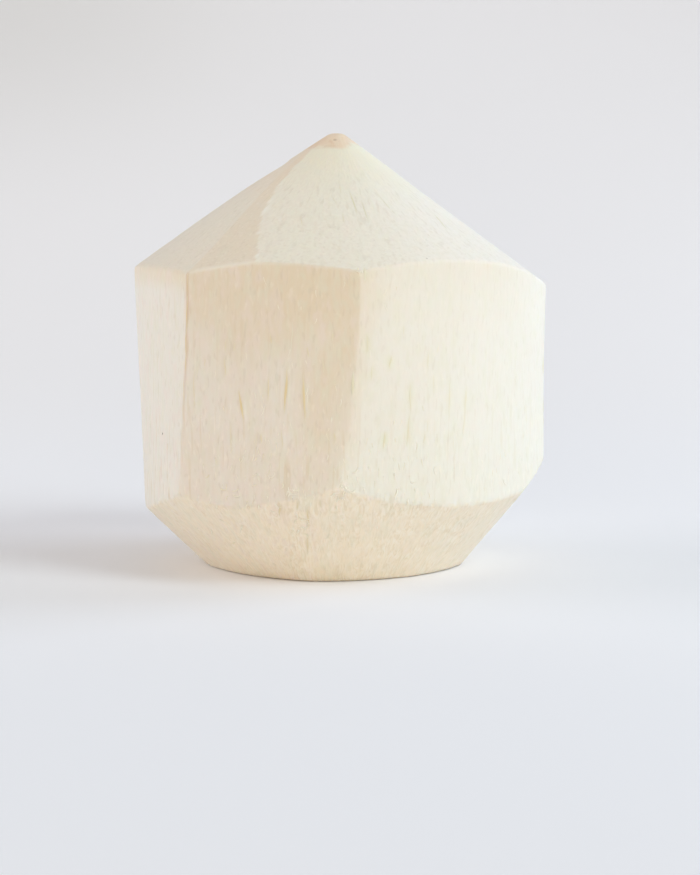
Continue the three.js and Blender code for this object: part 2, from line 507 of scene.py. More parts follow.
def bands_at(heading):
    """Rises where the bands of the husk begin and end: foot rim, cheek edge, shoulder, tip."""
    return (edge_rise(heading, lambda _, rise: foot_nearness(rise), cheeks_nearness, -85, -30),
            edge_rise(heading, cheeks_nearness, sides_nearness, -50, -1),
            edge_rise(heading, sides_nearness, cones_nearness, 5, 70),
            np.full(heading.shape, math.pi / 2))


def lead(one, other):
    """Millimetres by which one cut lies inside another; zero on the edge between them."""
    return (one - other) / np.maximum(np.maximum(one, other), 1e-6) ** 2


def side_lead(first, second, heading, rise):
    return lead(side_nearness(first, heading, rise), side_nearness(second, heading, rise))


def cheek_lead(heading, rise):
    return lead(cheeks_nearness(heading, rise), sides_nearness(heading, rise))


def fringe(heading, above_cheek):
    """Millimetres that strands of the sides are torn deeper where they meet the cheeks."""
    start = np.zeros(heading.shape)
    strands = (strand_noise(heading, start, width=1.3, length=50.0, seed=63)
               + 0.7 * strand_noise(heading, start, width=3.3, length=50.0, seed=65))
    return FRINGE_DEPTH * np.maximum(strands, 0.0) * peak(above_cheek, 0.0, 0.9)


def left_cone_sink(radius):
    """Millimetres that the left cone cut was taken deeper, most of all near the shoulder."""
    return 0.07 + 0.12 * ramp(radius, 43.0, 52.0)


def left_cone_lead(heading, rise, radius):
    """Millimetres by which the left cone cut lies inside the front one; zero on their ridge."""
    front, left = (cone_nearness(cut, heading, rise) for cut in (FRONT_CONE, LEFT_CONE))
    sunk_lead = lead(left, front) + left_cone_sink(radius)
    return np.where((rise > 0) & (heading < -60), sunk_lead, -9.0)


def ridge_share(past_ridge):
    """How near a point is to the ridge between the front and the left cone cuts."""
    return peak(past_ridge, 0.0, 0.07)


def cut_back(near, depth):
    """The nearness of a cut taken deeper by some millimetres."""
    return near / (1 - near * depth)


def husk_distance(heading, rise, relief):
    """How far the husk reaches from the heart, in millimetres."""
    smooth = soft_distance(
        [side_nearness(cut, heading, rise) for cut in SIDE_CUTS]
        + [cone_nearness(cut, heading, rise) for cut in CONE_CUTS]
        + [cheek_nearness(cut, heading, rise) for cut in CHEEK_CUTS]
        + [tip_nearness(rise), foot_nearness(rise)])
    radius = smooth * np.cos(rise)
    height = HEART_HEIGHT + smooth * np.sin(rise)
    torn = torn_share(heading, height)
    ridge = ridge_share(left_cone_lead(heading, rise, radius))
    lip = 1 - 0.7 * ridge * (0.5 + 0.5 * patch_noise(heading, radius, size=2.5, seed=95))
    torn_off = fringe(heading, cheek_lead(heading, rise))
    stack = [tip_nearness(rise), foot_nearness(rise)]
    for number, cut in enumerate(SIDE_CUTS):
        grain = side_relief(heading, height, torn, cut.coarseness, SIDE_SEED + SEED_STEP * number)
        stack.append(cut_back(side_nearness(cut, heading, rise), relief * (grain + torn_off)))
    for cut in CONE_CUTS:
        depth = relief * cone_relief(heading, radius, CONE_SEED) * lip
        if cut is LEFT_CONE:
            depth = depth + left_cone_sink(radius)
        stack.append(cut_back(cone_nearness(cut, heading, rise), depth))
    for number, cut in enumerate(CHEEK_CUTS):
        depth = relief * cheek_relief(heading, height, CHEEK_SEED + SEED_STEP * number)
        stack.append(cut_back(cheek_nearness(cut, heading, rise), depth))
    return soft_distance(stack)


def point_at(heading, rise, distance):
    angle = np.radians(heading)
    out = distance * np.cos(rise)
    return np.stack([out * np.cos(angle), out * np.sin(angle),
                     np.maximum(HEART_HEIGHT + distance * np.sin(rise), 0.0)], axis=-1)


def rise_to(heading, height, relief):
    """The rise over a heading at which the husk stands at a height."""
    def still_low(rise):
        return HEART_HEIGHT + husk_distance(heading, rise, relief) * np.sin(rise) < height

    return halve(np.full(heading.shape, LOWEST_RISE), np.full(heading.shape, HIGHEST_RISE),
                 still_low, SPOT_STEPS)


def spot_on_husk(heading, height, relief):
    """The point of the husk over one heading at one height."""
    heading = np.array([float(heading)])
    rise = rise_to(heading, height, relief)
    return tuple(point_at(heading, rise, husk_distance(heading, rise, relief))[0])


# ---------------------------------------------------------------------------------------------
# What covers the husk, as shares from 0 to 1.

# Where points of the husk lie, and how far they belong to the cone and to the cheeks. The rise is in
# radians, and above_shoulder is in millimetres.
Spots = namedtuple("Spots", "heading rise radius height above_shoulder on_cone on_cheek")


def slit_masks(at):
    """The slits, the fibre raised beside them and the sap round them."""
    wobble = slit_wobble(at.heading, at.height)

    def deepest(slits, where, offset=0.0, spread=1.0):
        depth = np.zeros(at.heading.shape)
        for slit in slits:
            mask = slit_mask(slit, at.heading, at.height, wobble - offset, spread)
            depth = np.maximum(depth, mask * where * slit.strength)
        return depth

    slits, on_side = SIDE_SLITS + spare_slits(), 1 - at.on_cone
    raised = ramp(strand_noise(at.heading, at.height, width=4.0, length=2.6, seed=81), 0.0, 0.6)
    return (np.maximum(deepest(slits, on_side), deepest(CONE_SLITS, at.on_cone)),
            deepest(slits, on_side, offset=LIP_OFFSET) * raised,
            deepest(slits, on_side, spread=SAP_SPREAD) * fade(at.heading, -20.0, 20.0))


def split_masks(at):
    """The long split, the lip along it and the tan stain beside it."""
    def followed(course):
        heights, values = zip(*course)
        return np.interp(at.height, heights, values)

    jog = 0.26 * strand_noise(np.zeros(at.heading.shape), at.height, width=40.0, length=4.0, seed=77)
    across = arc_from(followed(SPLIT_HEADINGS), at.heading) + jog
    open_here = followed(SPLIT_OPENING) * (1 - at.on_cone)
    lip = peak(across, -0.58, 0.25) * open_here * ramp(at.height, 50.0, 66.0)
    return (peak(across, 0.12, 0.42) * open_here,
            lip * (1 - 0.6 * ramp(at.height, 79.0, 83.0)),
            0.9 * peak(across, -0.35, 0.7) * open_here * ramp(at.height, 75.0, 81.0))


def fresh_share(at):
    """Where the front was cut last: the right front cut, and partly the husk short of its left edge."""
    past_edge = side_lead(RIGHT_CUT, FRONT_LEFT_CUT, at.heading, at.rise)
    past_edge = past_edge + 0.5 * strand_noise(at.heading, at.height, width=2.2, length=6.0, seed=85)
    pale_reach = 0.3 + 3.2 * fade(at.height, 58.0, 68.0)
    tan_reach = 2.8 + 2.4 * ramp(at.height, 70.0, 86.0)
    halfway = 0.12 * peak(at.height, 58.0, 7.0)
    fresh = (0.45 - halfway) * ramp(past_edge, -pale_reach, 0.1) + halfway * ramp(past_edge, -9.0, -2.0)
    fresh = fresh + 0.55 * ramp(past_edge, -0.1, tan_reach)
    return fresh * ramp(at.heading, -110.0, -100.0)


def left_share(at, drift):
    """Where the husk is like the left cut: on it, round to the back and partly along the split."""
    left = ramp(side_lead(LEFT_CUT, FRONT_LEFT_CUT, at.heading, at.rise), -0.15, 0.15)
    left = left * fade(at.heading, -125.0, -115.0) + ramp(at.heading, 150.0, 170.0)
    beside_split = fade(at.heading + 0.3 * drift, -126.0, -120.0) * ramp(at.height, 46.0, 56.0)
    return np.maximum(left, 0.4 * beside_split * fade(at.height, 74.0, 80.0))


def tan_share(at, fresh, left, stain, drift, below):
    """Where the husk dried to tan: the front left cut, along its top and its right edge, a strip
    under the shoulder and the stain of the split."""
    front_left = (1 - fresh) * (1 - left) * fade(at.heading, -60.0, -50.0)
    dried = ramp(at.height + drift, 56, 86) * (0.86 + 0.24 * ramp(at.heading, -118.0, -96.0))
    right_part = ramp(at.heading + 0.8 * drift, -108, -90)
    dried = np.maximum(dried, right_part * (0.30 + 0.55 * ramp(at.height + drift, 30, 62)))
    ragged = below + 0.5 * strand_noise(at.heading, at.height, width=5.0, length=50.0, seed=87)
    strip = fade(ragged, 1.9, 2.7) * (1 - front_left)
    under_left = 0.75 * left * fade(below, 1.0, 6.5) * fade(at.heading, -120.0, -110.0)
    tan = np.maximum.reduce([front_left * dried, 0.45 * strip * fade(at.heading, -84.0, -72.0),
                             under_left, stain])
    return tan * (1 - at.on_cone) * (1 - at.on_cheek)


def yellowed_share(at, below):
    """Where the right front cut has yellowed, under the shoulder."""
    yellowed = np.exp(-below / 13.0) * ramp(at.heading, -84.0, -76.0) * fade(at.heading, -25.0, 0.0)
    return yellowed * (0.75 + 0.25 * ramp(at.heading, -60.0, -46.0)) * (1 - at.on_cone)


def drying_masks(at, stain):
    """How each part of the husk has dried since it was cut."""
    drift = 5 * patch_noise(at.heading, at.height, size=12.0, seed=83)
    below = np.maximum(-at.above_shoulder, 0.0)
    fresh, left = fresh_share(at), left_share(at, drift)
    tan = tan_share(at, fresh, left, stain, drift, below)
    # From the right front cut round to the back, all of the sides are fresh.
    fresh = np.where(at.heading > -60.0, fade(at.heading, 110.0, 150.0), fresh)
    fresh_cone = ramp(at.heading, -95.0, -45.0) * fade(at.heading, 60.0, 120.0) * at.on_cone
    return {"fresh": fresh * (1 - at.on_cone) + fresh_cone, "left": left, "tan": tan,
            "yellowed": yellowed_share(at, below)}


def cone_masks(at):
    """The left cone cut, the lip along its ridge, and a painted highlight along the shoulder under it."""
    past_ridge = left_cone_lead(at.heading, at.rise, at.radius)
    ragged = past_ridge + 0.035 * strand_noise(at.heading, at.radius, width=40.0, length=1.2, seed=97)
    ragged = ragged + 0.035 * strand_noise(at.heading, at.radius, width=60.0, length=4.0, seed=99)
    flecked = ramp(strand_noise(at.heading, at.radius, width=2.5, length=1.3, seed=93), -0.1, 0.5)
    ridge_lip = ridge_share(past_ridge) * flecked * ramp(at.radius, 18.0, 34.0) * at.on_cone
    # Painted highlight: a pale line along the edge of the shoulder, where the light catches it.
    shoulder_highlight = peak(at.above_shoulder, 0.25, 0.45) * ramp(at.heading, -134, -131)
    shoulder_highlight = shoulder_highlight * fade(at.heading, -116, -108)
    return ramp(ragged, -0.01, 0.02) * at.on_cone, ridge_lip, shoulder_highlight


def tip_masks(at):
    """The skin left on the tip, the rim of it and its left side."""
    edge = 8.6 + 0.9 * strand_noise(at.heading, np.zeros(at.heading.shape), width=30.0, length=5.0, seed=91)
    edge = edge - 2.4 * ramp(at.heading, -80, -40) * fade(at.heading, 20, 60)
    leftward = ramp(-np.cos(np.radians(at.heading)), 0.45, 0.95)
    return {"tip": fade(at.radius, edge - 0.7, edge + 0.7), "tip_rim": peak(at.radius, edge, 0.5),
            "tip_left": leftward * ramp(at.radius, 2.0, 6.5) * fade(at.radius, edge - 0.7, edge + 0.3)}


def fibre_masks(at):
    """Where each kind of loose fibre grows."""
    front = ramp(at.heading, -134.0, -122.0) * fade(at.heading, -72.0, -52.0)
    curly_front = 0.08 + 0.92 * front * (1 - 0.8 * ramp(at.heading, -86, -78))
    on_side, off_cheek = 1 - at.on_cone, 1 - 0.75 * at.on_cheek
    tufted = sum(np.exp(-(arc_from(tuft.heading, at.heading) ** 2 + (at.height - tuft.height) ** 2)
                        / tuft.breadth ** 2) for tuft in TUFTS)
    return {"fibrous": fibrous_share(at.heading, at.height) * (0.2 + 0.8 * front) * on_side * off_cheek,
            "curly": curly_share(at.heading, at.height) * curly_front * on_side * off_cheek,
            "tufted": np.clip(tufted, 0, 1),
            "rim": peak(at.height, 1.2, 1.5)}


def husk_masks(heading, rise, radius, height, shoulder):
    """What covers each point of the husk, and as "ring" its distance from the axis in millimetres."""
    on_cone = ramp(rise, shoulder - SHOULDER_BLUR, shoulder + SHOULDER_BLUR)
    past_cheek = cheek_lead(heading, rise)
    ragged = 0.3 * strand_noise(heading, height, width=1.8, length=50.0, seed=73)
    past_cheek = past_cheek - fringe(heading, past_cheek) + ragged
    on_cheek = ramp(past_cheek, -0.45, 0.45)
    at = Spots(heading, rise, radius, height, (rise - shoulder) * SHOULDER_RADIUS, on_cone, on_cheek)
    slit, beside_slit, sap = slit_masks(at)
    split, split_lip, stain = split_masks(at)
    left_cone, ridge_lip, shoulder_highlight = cone_masks(at)
    return {
        "on_cone": on_cone, "on_cheek": on_cheek, "ring": radius, "left_cone": left_cone,
        "slit": slit, "sap": sap, "split": split,
        # The lip also carries the painted highlight along the shoulder.
        "lip": np.maximum.reduce([ridge_lip, 0.8 * shoulder_highlight, beside_slit, 0.9 * split_lip]),
        "torn": np.maximum(torn_share(heading, height) * (1 - on_cone), on_cheek),
        "torn_edge": peak(past_cheek, 0.3, 0.55),
        "matting": on_cheek * (0.62 + 0.38 * ramp(heading, -118.0, -102.0)),
        **drying_masks(at, stain), **tip_masks(at), **fibre_masks(at),
    }


class MeshStack:
    """Collects rings of points, in millimetres, and the faces between them."""

    def __init__(self):
        self.points, self.faces, self.values, self.count = [], [], {}, 0

    def ring(self, points, values):
        first = self.count
        self.points.append(points)
        for name, value in values.items():
            self.values.setdefault(name, []).append(value)
        self.count += len(points)
        return np.arange(first, self.count)

    def join(self, lower, upper):
        """Faces between two rings, the second with as many points as the first, half or twice."""
        if len(lower) == len(upper):
            right, above = np.roll(lower, -1), np.roll(upper, -1)
            self.faces += np.stack([lower, right, above, upper], axis=1).tolist()
        elif len(lower) == 2 * len(upper):
            start, middle, end = lower[0::2], lower[1::2], np.roll(lower[0::2], -1)
            above = np.roll(upper, -1)
            for corners in ([start, middle, upper], [middle, above, upper], [middle, end, above]):
                self.faces += np.stack(corners, axis=1).tolist()
        else:
            start, end = lower, np.roll(lower, -1)
            above, between, last = upper[0::2], upper[1::2], np.roll(upper[0::2], -1)
            for corners in ([start, between, above], [start, end, between], [end, last, between]):
                self.faces += np.stack(corners, axis=1).tolist()

    def close(self, ring, point, upper):
        """A fan from a ring to one point, above the ring or below it."""
        following = np.roll(ring, -1)
        middle = np.full(len(ring), point)
        order = (ring, following, middle) if upper else (following, ring, middle)
        self.faces += np.stack(order, axis=1).tolist()

    def mesh(self, name):
        """A smooth mesh in metres that keeps the values as attributes."""
        mesh = bpy.data.meshes.new(name)
        mesh.from_pydata((np.concatenate(self.points) * MM).tolist(), [], self.faces)
        for value_name, parts in self.values.items():
            value = np.concatenate(parts).astype(np.float32)
            kind, field = ("FLOAT_VECTOR", "vector") if value.ndim == 2 else ("FLOAT", "value")
            mesh.attributes.new(value_name, kind, "POINT").data.foreach_set(field, value.ravel())
        mesh.shade_smooth()
        return mesh


def husk_rows():
    """Rows of the mesh from the rim of the foot to just short of the tip, as band and share."""
    rows = []
    for band, count in enumerate((CHEEK_ROWS, SIDE_ROWS, CONE_ROWS)):
        for step in range(count):
            share = step / count
            crowded = (1 - math.cos(math.pi * share)) / 2
            rows.append((band, share + (crowded - share) * EDGE_CROWDING))
    return rows


def husk_rings(relief, slit_depth):
    """Points of the husk in rows and columns, and the values kept on them."""
    heading = np.arange(COLUMNS) * 360.0 / COLUMNS - 180.0
    bands = bands_at(heading)
    rise = np.array([bands[band] + (bands[band + 1] - bands[band]) * share
                     for band, share in husk_rows()])
    heading = np.broadcast_to(heading, rise.shape)
    distance = husk_distance(heading, rise, relief)
    radius, height = distance * np.cos(rise), HEART_HEIGHT + distance * np.sin(rise)
    values = husk_masks(heading, rise, radius, height, shoulder=bands[2])
    cut_in = slit_depth * np.maximum(SLIT_DEPTH * values["slit"], SPLIT_DEPTH * values["split"])
    low, high = (np.array(corner) / MM for corner in CAD_BOX)
    points = np.clip(point_at(heading, rise, distance - cut_in), low, high)

    angle = np.radians(heading)
    travelled = np.linalg.norm(np.diff(points, axis=0), axis=2).mean(axis=1)
    travelled = FOOT_GRAIN + np.concatenate([[0.0], np.cumsum(travelled)])
    values["grain"] = np.stack([SHOULDER_RADIUS * np.cos(angle), SHOULDER_RADIUS * np.sin(angle),
                                np.broadcast_to(travelled[:, None], angle.shape)], axis=-1)
    values["place"] = points
    down = np.concatenate(
        [points[:1] - points[1:2], points[:-2] - points[2:], points[-2:-1] - points[-1:]])
    values["along"] = down / np.linalg.norm(down, axis=2, keepdims=True)
    return points, values


def thinned(values, row, skip):
    """The values of one row of the husk, one column in so many."""
    return {name: value[row, ::skip] for name, value in values.items()}


def foot_rings(stack, points, values):
    """Adds the foot, from its middle out to just short of the rim, and returns its last ring."""
    middle = {name: np.zeros_like(value[0, :1]) for name, value in values.items()}
    centre = stack.ring(np.zeros((1, 3)), middle)[0]
    previous = None
    for share, skip in FOOT_RINGS:
        kept = thinned(values, 0, skip)
        kept["grain"] = kept["grain"] * share
        kept.update({name: kept[name] * 0 for name in BARE_ON_FOOT})
        ring = stack.ring(points[0, ::skip] * share * np.array([1.0, 1.0, 0.0]), kept)
        if previous is None:
            stack.close(ring, centre, upper=False)
        else:
            stack.join(previous, ring)
        previous = ring
    return previous


def husk_mesh(relief, slit_depth):
    points, values = husk_rings(relief, slit_depth)
    stack = MeshStack()
    previous = foot_rings(stack, points, values)
    mean_radius = np.hypot(points[..., 0], points[..., 1]).mean(axis=1)
    first_cone_row = CHEEK_ROWS + SIDE_ROWS
    for row in range(len(points)):
        skip = 1
        for limit in HALVE_AT_RADII:
            if row > first_cone_row and mean_radius[row] < limit:
                skip *= 2
        ring = stack.ring(points[row, ::skip], thinned(values, row, skip))
        stack.join(previous, ring)
        previous = ring

    top = {name: value[-1].mean(axis=0, keepdims=True) for name, value in values.items()}
    summit = points[-1].mean(axis=0, keepdims=True)
    stack.close(previous, stack.ring(summit, top)[0], upper=True)
    return stack.mesh(HUSK_NAME)


# ---------------------------------------------------------------------------------------------
# Strands: the darker strands that lie bare in the slits.

def strand_mesh(slits, relief, slit_depth):
    """One spindle for each slit, flattened, with its edges sunk in the husk."""
    def column(name):
        return np.array([getattr(slit, name) for slit in slits])[:, None]

    def unit(vectors):
        return vectors / np.linalg.norm(vectors, axis=-1, keepdims=True)

    rng = np.random.default_rng(seed=59)
    share = np.linspace(0.02, 0.98, STRAND_RINGS)[None, :]
    heading = column("heading") + (column("lower_heading") - column("heading")) * share
    height = column("top") + (column("bottom") - column("top")) * share
    bend = rng.uniform(-0.16, 0.16, (len(slits), 1)) * np.sin(2 * math.pi * share)
    heading = heading + (bend - slit_wobble(heading, height)) * 360 / GIRTH
    rise = rise_to(heading, height, relief)
    spine = point_at(heading, rise, husk_distance(heading, rise, relief))

    def smooth_point(turned):
        return point_at(heading + turned, rise, husk_distance(heading + turned, rise, 0.0))

    beside = unit(smooth_point(0.5) - smooth_point(-0.5))
    onward = np.gradient(spine, axis=1)
    out = unit(np.cross(onward, beside))
    taper = np.sin(math.pi * share) ** 0.7
    uneven = 1 + 0.25 * strand_noise(column("heading") + 0 * share, height, width=5.0, length=1.6, seed=67)
    half = column("width") / 2 * taper * uneven
    sunk = SLIT_DEPTH * slit_depth * column("strength") * taper
    seat = sunk + STRAND_SEAT
    spine = spine - out * seat[..., None]
    core = column("strength") * taper
    point_reach = onward * STRAND_POINT

    stack = MeshStack()
    around = np.arange(STRAND_SIDES) * 2 * math.pi / STRAND_SIDES
    upper_side = 0.25 + 0.75 * np.clip(np.sin(around), 0, 1)
    for strand in range(len(slits)):
        above = stack.ring(spine[strand, :1] - point_reach[strand, :1], {"core": np.zeros(1)})[0]
        below = stack.ring(spine[strand, -1:] + point_reach[strand, -1:], {"core": np.zeros(1)})[0]
        previous = None
        for ring in range(STRAND_RINGS):
            across = np.cos(around)[:, None] * beside[strand, ring] * half[strand, ring]
            through = np.sin(around)[:, None] * out[strand, ring] * (seat[strand, ring] + STRAND_PROUD)
            joined = stack.ring(spine[strand, ring] + across + through,
                                {"core": core[strand, ring] * upper_side})
            if previous is None:
                stack.close(joined, above, upper=False)
            else:
                stack.join(previous, joined)
            previous = joined
        stack.close(previous, below, upper=True)
    return stack.mesh(STRANDS_NAME)


# ---------------------------------------------------------------------------------------------
# Node trees written as expressions.

class Value:
    """A number in a node tree that takes part in arithmetic. Each operator adds a Math node."""

    def __init__(self, tree, socket):
        self.tree, self.socket = tree, socket

    def math(self, operation, *operands):
        return self.tree.add("ShaderNodeMath", {"operation": operation}, dict(enumerate(operands)))

    def __add__(self, other):
        return self.math("ADD", self, other)

    def __sub__(self, other):
        return self.math("SUBTRACT", self, other)

    def __rsub__(self, other):
        return self.math("SUBTRACT", other, self)

    def __mul__(self, other):
        return self.math("MULTIPLY", self, other)

    def __truediv__(self, other):
        return self.math("DIVIDE", self, other)

    __radd__ = __add__
    __rmul__ = __mul__

    def sine(self):
        return self.math("SINE", self)

    def cosine(self):
        return self.math("COSINE", self)

    def ramp(self, start, end):
        """Runs smoothly from 0 to 1 as the value goes from start to end."""
        return self.tree.add("ShaderNodeMapRange", {"interpolation_type": "SMOOTHSTEP"},
                             {"Value": self, "From Min": start, "From Max": end}, "Result")


class Tree:
    """Adds nodes to a node tree and links them."""

    def __init__(self, node_tree):
        self.nodes, self.links = node_tree.nodes, node_tree.links

    def node(self, kind, settings, inputs):
        """A node of a kind: first its settings, then the values or links of its sockets."""
        node = self.nodes.new(kind)
        for name, value in settings.items():
            setattr(node, name, value)
        for name, value in inputs.items():
            if isinstance(value, Value):
                self.links.new(value.socket, node.inputs[name])
            else:
                node.inputs[name].default_value = value
        return node

    def add(self, kind, settings, inputs, output=0):
        """One output of a new node."""
        return Value(self, self.node(kind, settings, inputs).outputs[output])

    def vector(self, operation, *operands):
        return self.add("ShaderNodeVectorMath", {"operation": operation}, dict(enumerate(operands)))

    def scale(self, vector, amount):
        return self.add("ShaderNodeVectorMath", {"operation": "SCALE"}, {0: vector, "Scale": amount})

    def total(self, *vectors):
        result = vectors[0]
        for vector in vectors[1:]:
            result = self.vector("ADD", result, vector)
        return result


def opaque(colour):
    return (*colour, 1.0)


class ShaderTree(Tree):
    """A material's node tree."""

    def attribute(self, name, output="Fac"):
        return self.add("ShaderNodeAttribute", {"attribute_name": name}, {}, output)

    def axes(self):
        """The three coordinates of the piece itself, in metres."""
        place = self.add("ShaderNodeTexCoord", {}, {}, "Object")
        outputs = self.node("ShaderNodeSeparateXYZ", {}, {"Vector": place}).outputs
        return [Value(self, output) for output in outputs]

    def mix(self, first, second, share):
        """A blend of two colours; share 0 is the first."""
        colours = [colour if isinstance(colour, Value) else opaque(colour) for colour in (first, second)]
        return self.add("ShaderNodeMix", {"data_type": "RGBA", "clamp_factor": True},
                        {0: share, 6: colours[0], 7: colours[1]}, 2)

    def noise(self, place, across, along, detail=2.0, distortion=0.0, shift=0.0):
        """Noise with so many lumps to a millimetre across the grain and along it."""
        stretched = self.vector("MULTIPLY_ADD", place, (across, across, along), (shift, shift, shift))
        return self.add("ShaderNodeTexNoise", {}, {
            "Vector": stretched, "Scale": 1.0, "Detail": detail, "Distortion": distortion}, "Fac")

    def finish(self, sockets):
        shader = self.add("ShaderNodeBsdfPrincipled", {}, sockets)
        self.node("ShaderNodeOutputMaterial", {}, {"Surface": shader})


# Light that passes a little way through the pale fibre.
GLOW = {"Subsurface Weight": 0.4, "Subsurface Radius": (1.0, 0.75, 0.55), "Subsurface Scale": 0.0005}

# The values kept on the husk that its colours need.
HUSK_VALUES = (
    "on_cone", "on_cheek", "ring", "left_cone", "fresh", "left", "tan", "yellowed", "torn", "torn_edge",
    "matting", "tufted", "slit", "sap", "split", "lip", "tip", "tip_rim", "tip_left")


def new_material(name):
    material = bpy.data.materials.new(name)
    material.use_nodes = True
    material.node_tree.nodes.clear()
    return material, ShaderTree(material.node_tree)


class Paint:
    """A colour laid on in coats, each over the ones before it by a share from 0 to 1."""

    def __init__(self, tree, colour):
        self.tree, self.colour = tree, colour

    def coat(self, colour, share):
        self.colour = self.tree.mix(self.colour, colour, share)


def husk_values(tree):
    """The values kept on the husk, by name."""
    on = SimpleNamespace(**{name: tree.attribute(name) for name in HUSK_VALUES})
    on.grain, on.place = tree.attribute("grain", "Vector"), tree.attribute("place", "Vector")
    return on


def fibre_patterns(tree, on):
    """Patterns of the grain: noise about a half, or shares from 0 to 1 where rare marks are."""
    def marks(across, along, rarity, shift):
        noise = tree.noise(on.grain, across, along, detail=0.0, shift=shift)
        return noise.ramp(rarity - 0.04, rarity + 0.14)

    def dots(fineness, shift):
        return tree.noise(on.place, fineness, fineness, detail=0.0, shift=shift).ramp(0.60, 0.76)

    seen = SimpleNamespace()
    seen.patches = tree.noise(on.grain, 0.07, 0.05, shift=71.0)
    seen.hue = tree.noise(on.grain, 0.34, 0.15, shift=57.0)
    seen.threads = tree.noise(on.grain, 0.80, 0.15, detail=1.0, distortion=0.5, shift=31.0)
    seen.matted = tree.noise(on.grain, 0.80, 0.50, distortion=1.2, shift=43.0)
    side_dashes = tree.noise(on.grain, 0.90, 0.30, detail=1.0)
    cone_flecks = tree.noise(on.grain, 0.70, 0.62, detail=1.0, shift=7.0)
    seen.dashes = side_dashes + (cone_flecks - side_dashes) * on.on_cone
    seen.dark_dashes = marks(1.05, 0.34, 0.66, 83.0) * (1 - on.on_cone) * (1 - 0.5 * on.on_cheek)
    seen.pale_dashes = marks(1.05, 0.38, 0.67, 101.0) * (1 - on.on_cone)
    seen.stains = marks(0.9, 0.085, 0.66, 131.0) * (1 - on.on_cone) * (1 - 0.7 * on.on_cheek)
    torn_ends = tree.noise(on.grain, 0.95, 0.30, detail=0.0, shift=149.0)
    seen.ticks = torn_ends.ramp(0.54, 0.66) * on.torn_edge

    seen.tangle = tree.noise(on.place, 1.1, 1.1, detail=1.0, distortion=2.0, shift=139.0)
    seen.wisps = tree.noise(on.grain, 0.46, 0.19, detail=1.0, distortion=2.6, shift=171.0)
    wispy_patches = tree.noise(on.place, 0.15, 0.15, shift=191.0)
    seen.wispy = on.matting * (0.42 + 0.75 * wispy_patches.ramp(0.36, 0.62))

    lower_cone = on.ring.ramp(28.0, 50.0)
    cone_marks = marks(0.62, 0.26, 0.63, 109.0) * on.ring.ramp(8.0, 28.0)
    seen.cone_dashes = cone_marks * on.on_cone * (1.7 - 0.7 * lower_cone)
    seen.pits = dots(1.05, 89.0) * lower_cone * on.on_cone
    seen.chips = dots(0.95, 119.0) * on.ring.ramp(8.0, 30.0) * on.on_cone
    return seen


def paint_cuts(paint, settings, on, seen):
    """The colour of each cut, and of the husk that dried or yellowed on it, with painted shade on the left
    cone cut and painted light on the cheeks.
    """
    paint.coat(settings.fresh_colour, on.fresh * (0.65 + 0.35 * on.torn))
    paint.coat(settings.green_colour, on.fresh * on.torn * 0.14)
    paint.coat(settings.amber_colour, on.yellowed * 0.20)
    paint.coat(settings.left_colour, on.left * 0.85)

    mix = paint.tree.mix
    cone = mix(settings.cone_colour, settings.pale_cone_colour, on.fresh)
    cone = mix(settings.top_cone_colour, cone, on.ring.ramp(8.0, 36.0))
    paint.coat(cone, on.on_cone * (0.7 + 0.3 * seen.dashes.ramp(0.35, 0.65)))
    # The left cone cut is painted darker and warmer than the front one: partly the colour of its own husk,
    # partly painted shade for the cut turned away from the key light.
    left_cone = mix(settings.left_cone_and_shade_colour, settings.left_colour, on.left * 0.42)
    left_cone = mix(left_cone, settings.skin_colour, on.ring.ramp(38.0, 12.0) * 0.5)
    paint.coat(left_cone, on.left_cone)

    # Partly painted light: the cheeks are painted lighter and warmer than the husk above them, standing in
    # for warm light bounced up onto them, over the colour of their own matted husk.
    paint.coat(settings.cheek_and_bounce_colour, on.on_cheek * (0.76 + 0.18 * seen.matted.ramp(0.4, 0.65)))
    paint.coat(settings.tan_colour, on.tan * (0.85 + 0.15 * seen.threads.ramp(0.35, 0.65)))
    paint.coat(settings.green_colour, seen.hue.ramp(0.50, 0.68) * (0.35 - 0.22 * on.on_cone))
    paint.coat(settings.pink_colour,
               seen.hue.ramp(0.50, 0.32) * (0.38 - 0.26 * on.fresh) * (1 - 0.7 * on.on_cone))


def paint_fibre(paint, settings, on, seen):
    """The dashes, stains and flecks of single fibres, with painted shade in the hollows between them, and
    the tangle on the cheeks and tufts, with painted light on the tufts.
    """
    # Partly painted shade: the straw coat darkens the hollows between fibres and the pits of the cone; the
    # rest of it is darker fibre.
    shaded = seen.dashes.ramp(0.62, 0.32) * 0.07 + seen.dark_dashes * (1 - 0.4 * on.fresh) * 0.32
    shaded = shaded * (0.50 + 0.12 * on.torn + 0.12 * on.on_cheek) + seen.ticks * 0.22
    paint.coat(settings.straw_colour, shaded + seen.cone_dashes * 0.105 + seen.pits * 0.125)
    stained = seen.stains * (0.10 + 0.22 * on.torn) * (1 - 0.6 * on.fresh)
    paint.coat(settings.amber_colour, stained * (1 - 0.5 * on.left_cone))
    flecked = (seen.pale_dashes + 1.2 * seen.chips) * (0.16 + 0.20 * on.torn + 0.14 * on.on_cheek)
    paint.coat(settings.fleck_colour, flecked * (1 - 0.3 * on.fresh))

    paint.coat(settings.fleck_colour, seen.wispy * seen.wisps.ramp(0.53, 0.63) * 0.52)
    paint.coat(settings.amber_colour, seen.wispy * seen.wisps.ramp(0.46, 0.36) * 0.24)
    paint.coat(settings.amber_colour, seen.wispy * seen.matted.ramp(0.46, 0.32) * 0.10)
    # Partly painted light: pale patches round the tufts stand in for curls that catch the light, over the
    # pale colour of the fibre itself.
    paint.coat(settings.fleck_colour, on.tufted * seen.tangle.ramp(0.44, 0.62) * 0.9)
    paint.coat(settings.amber_colour, on.tufted * seen.tangle.ramp(0.42, 0.30) * 0.2)


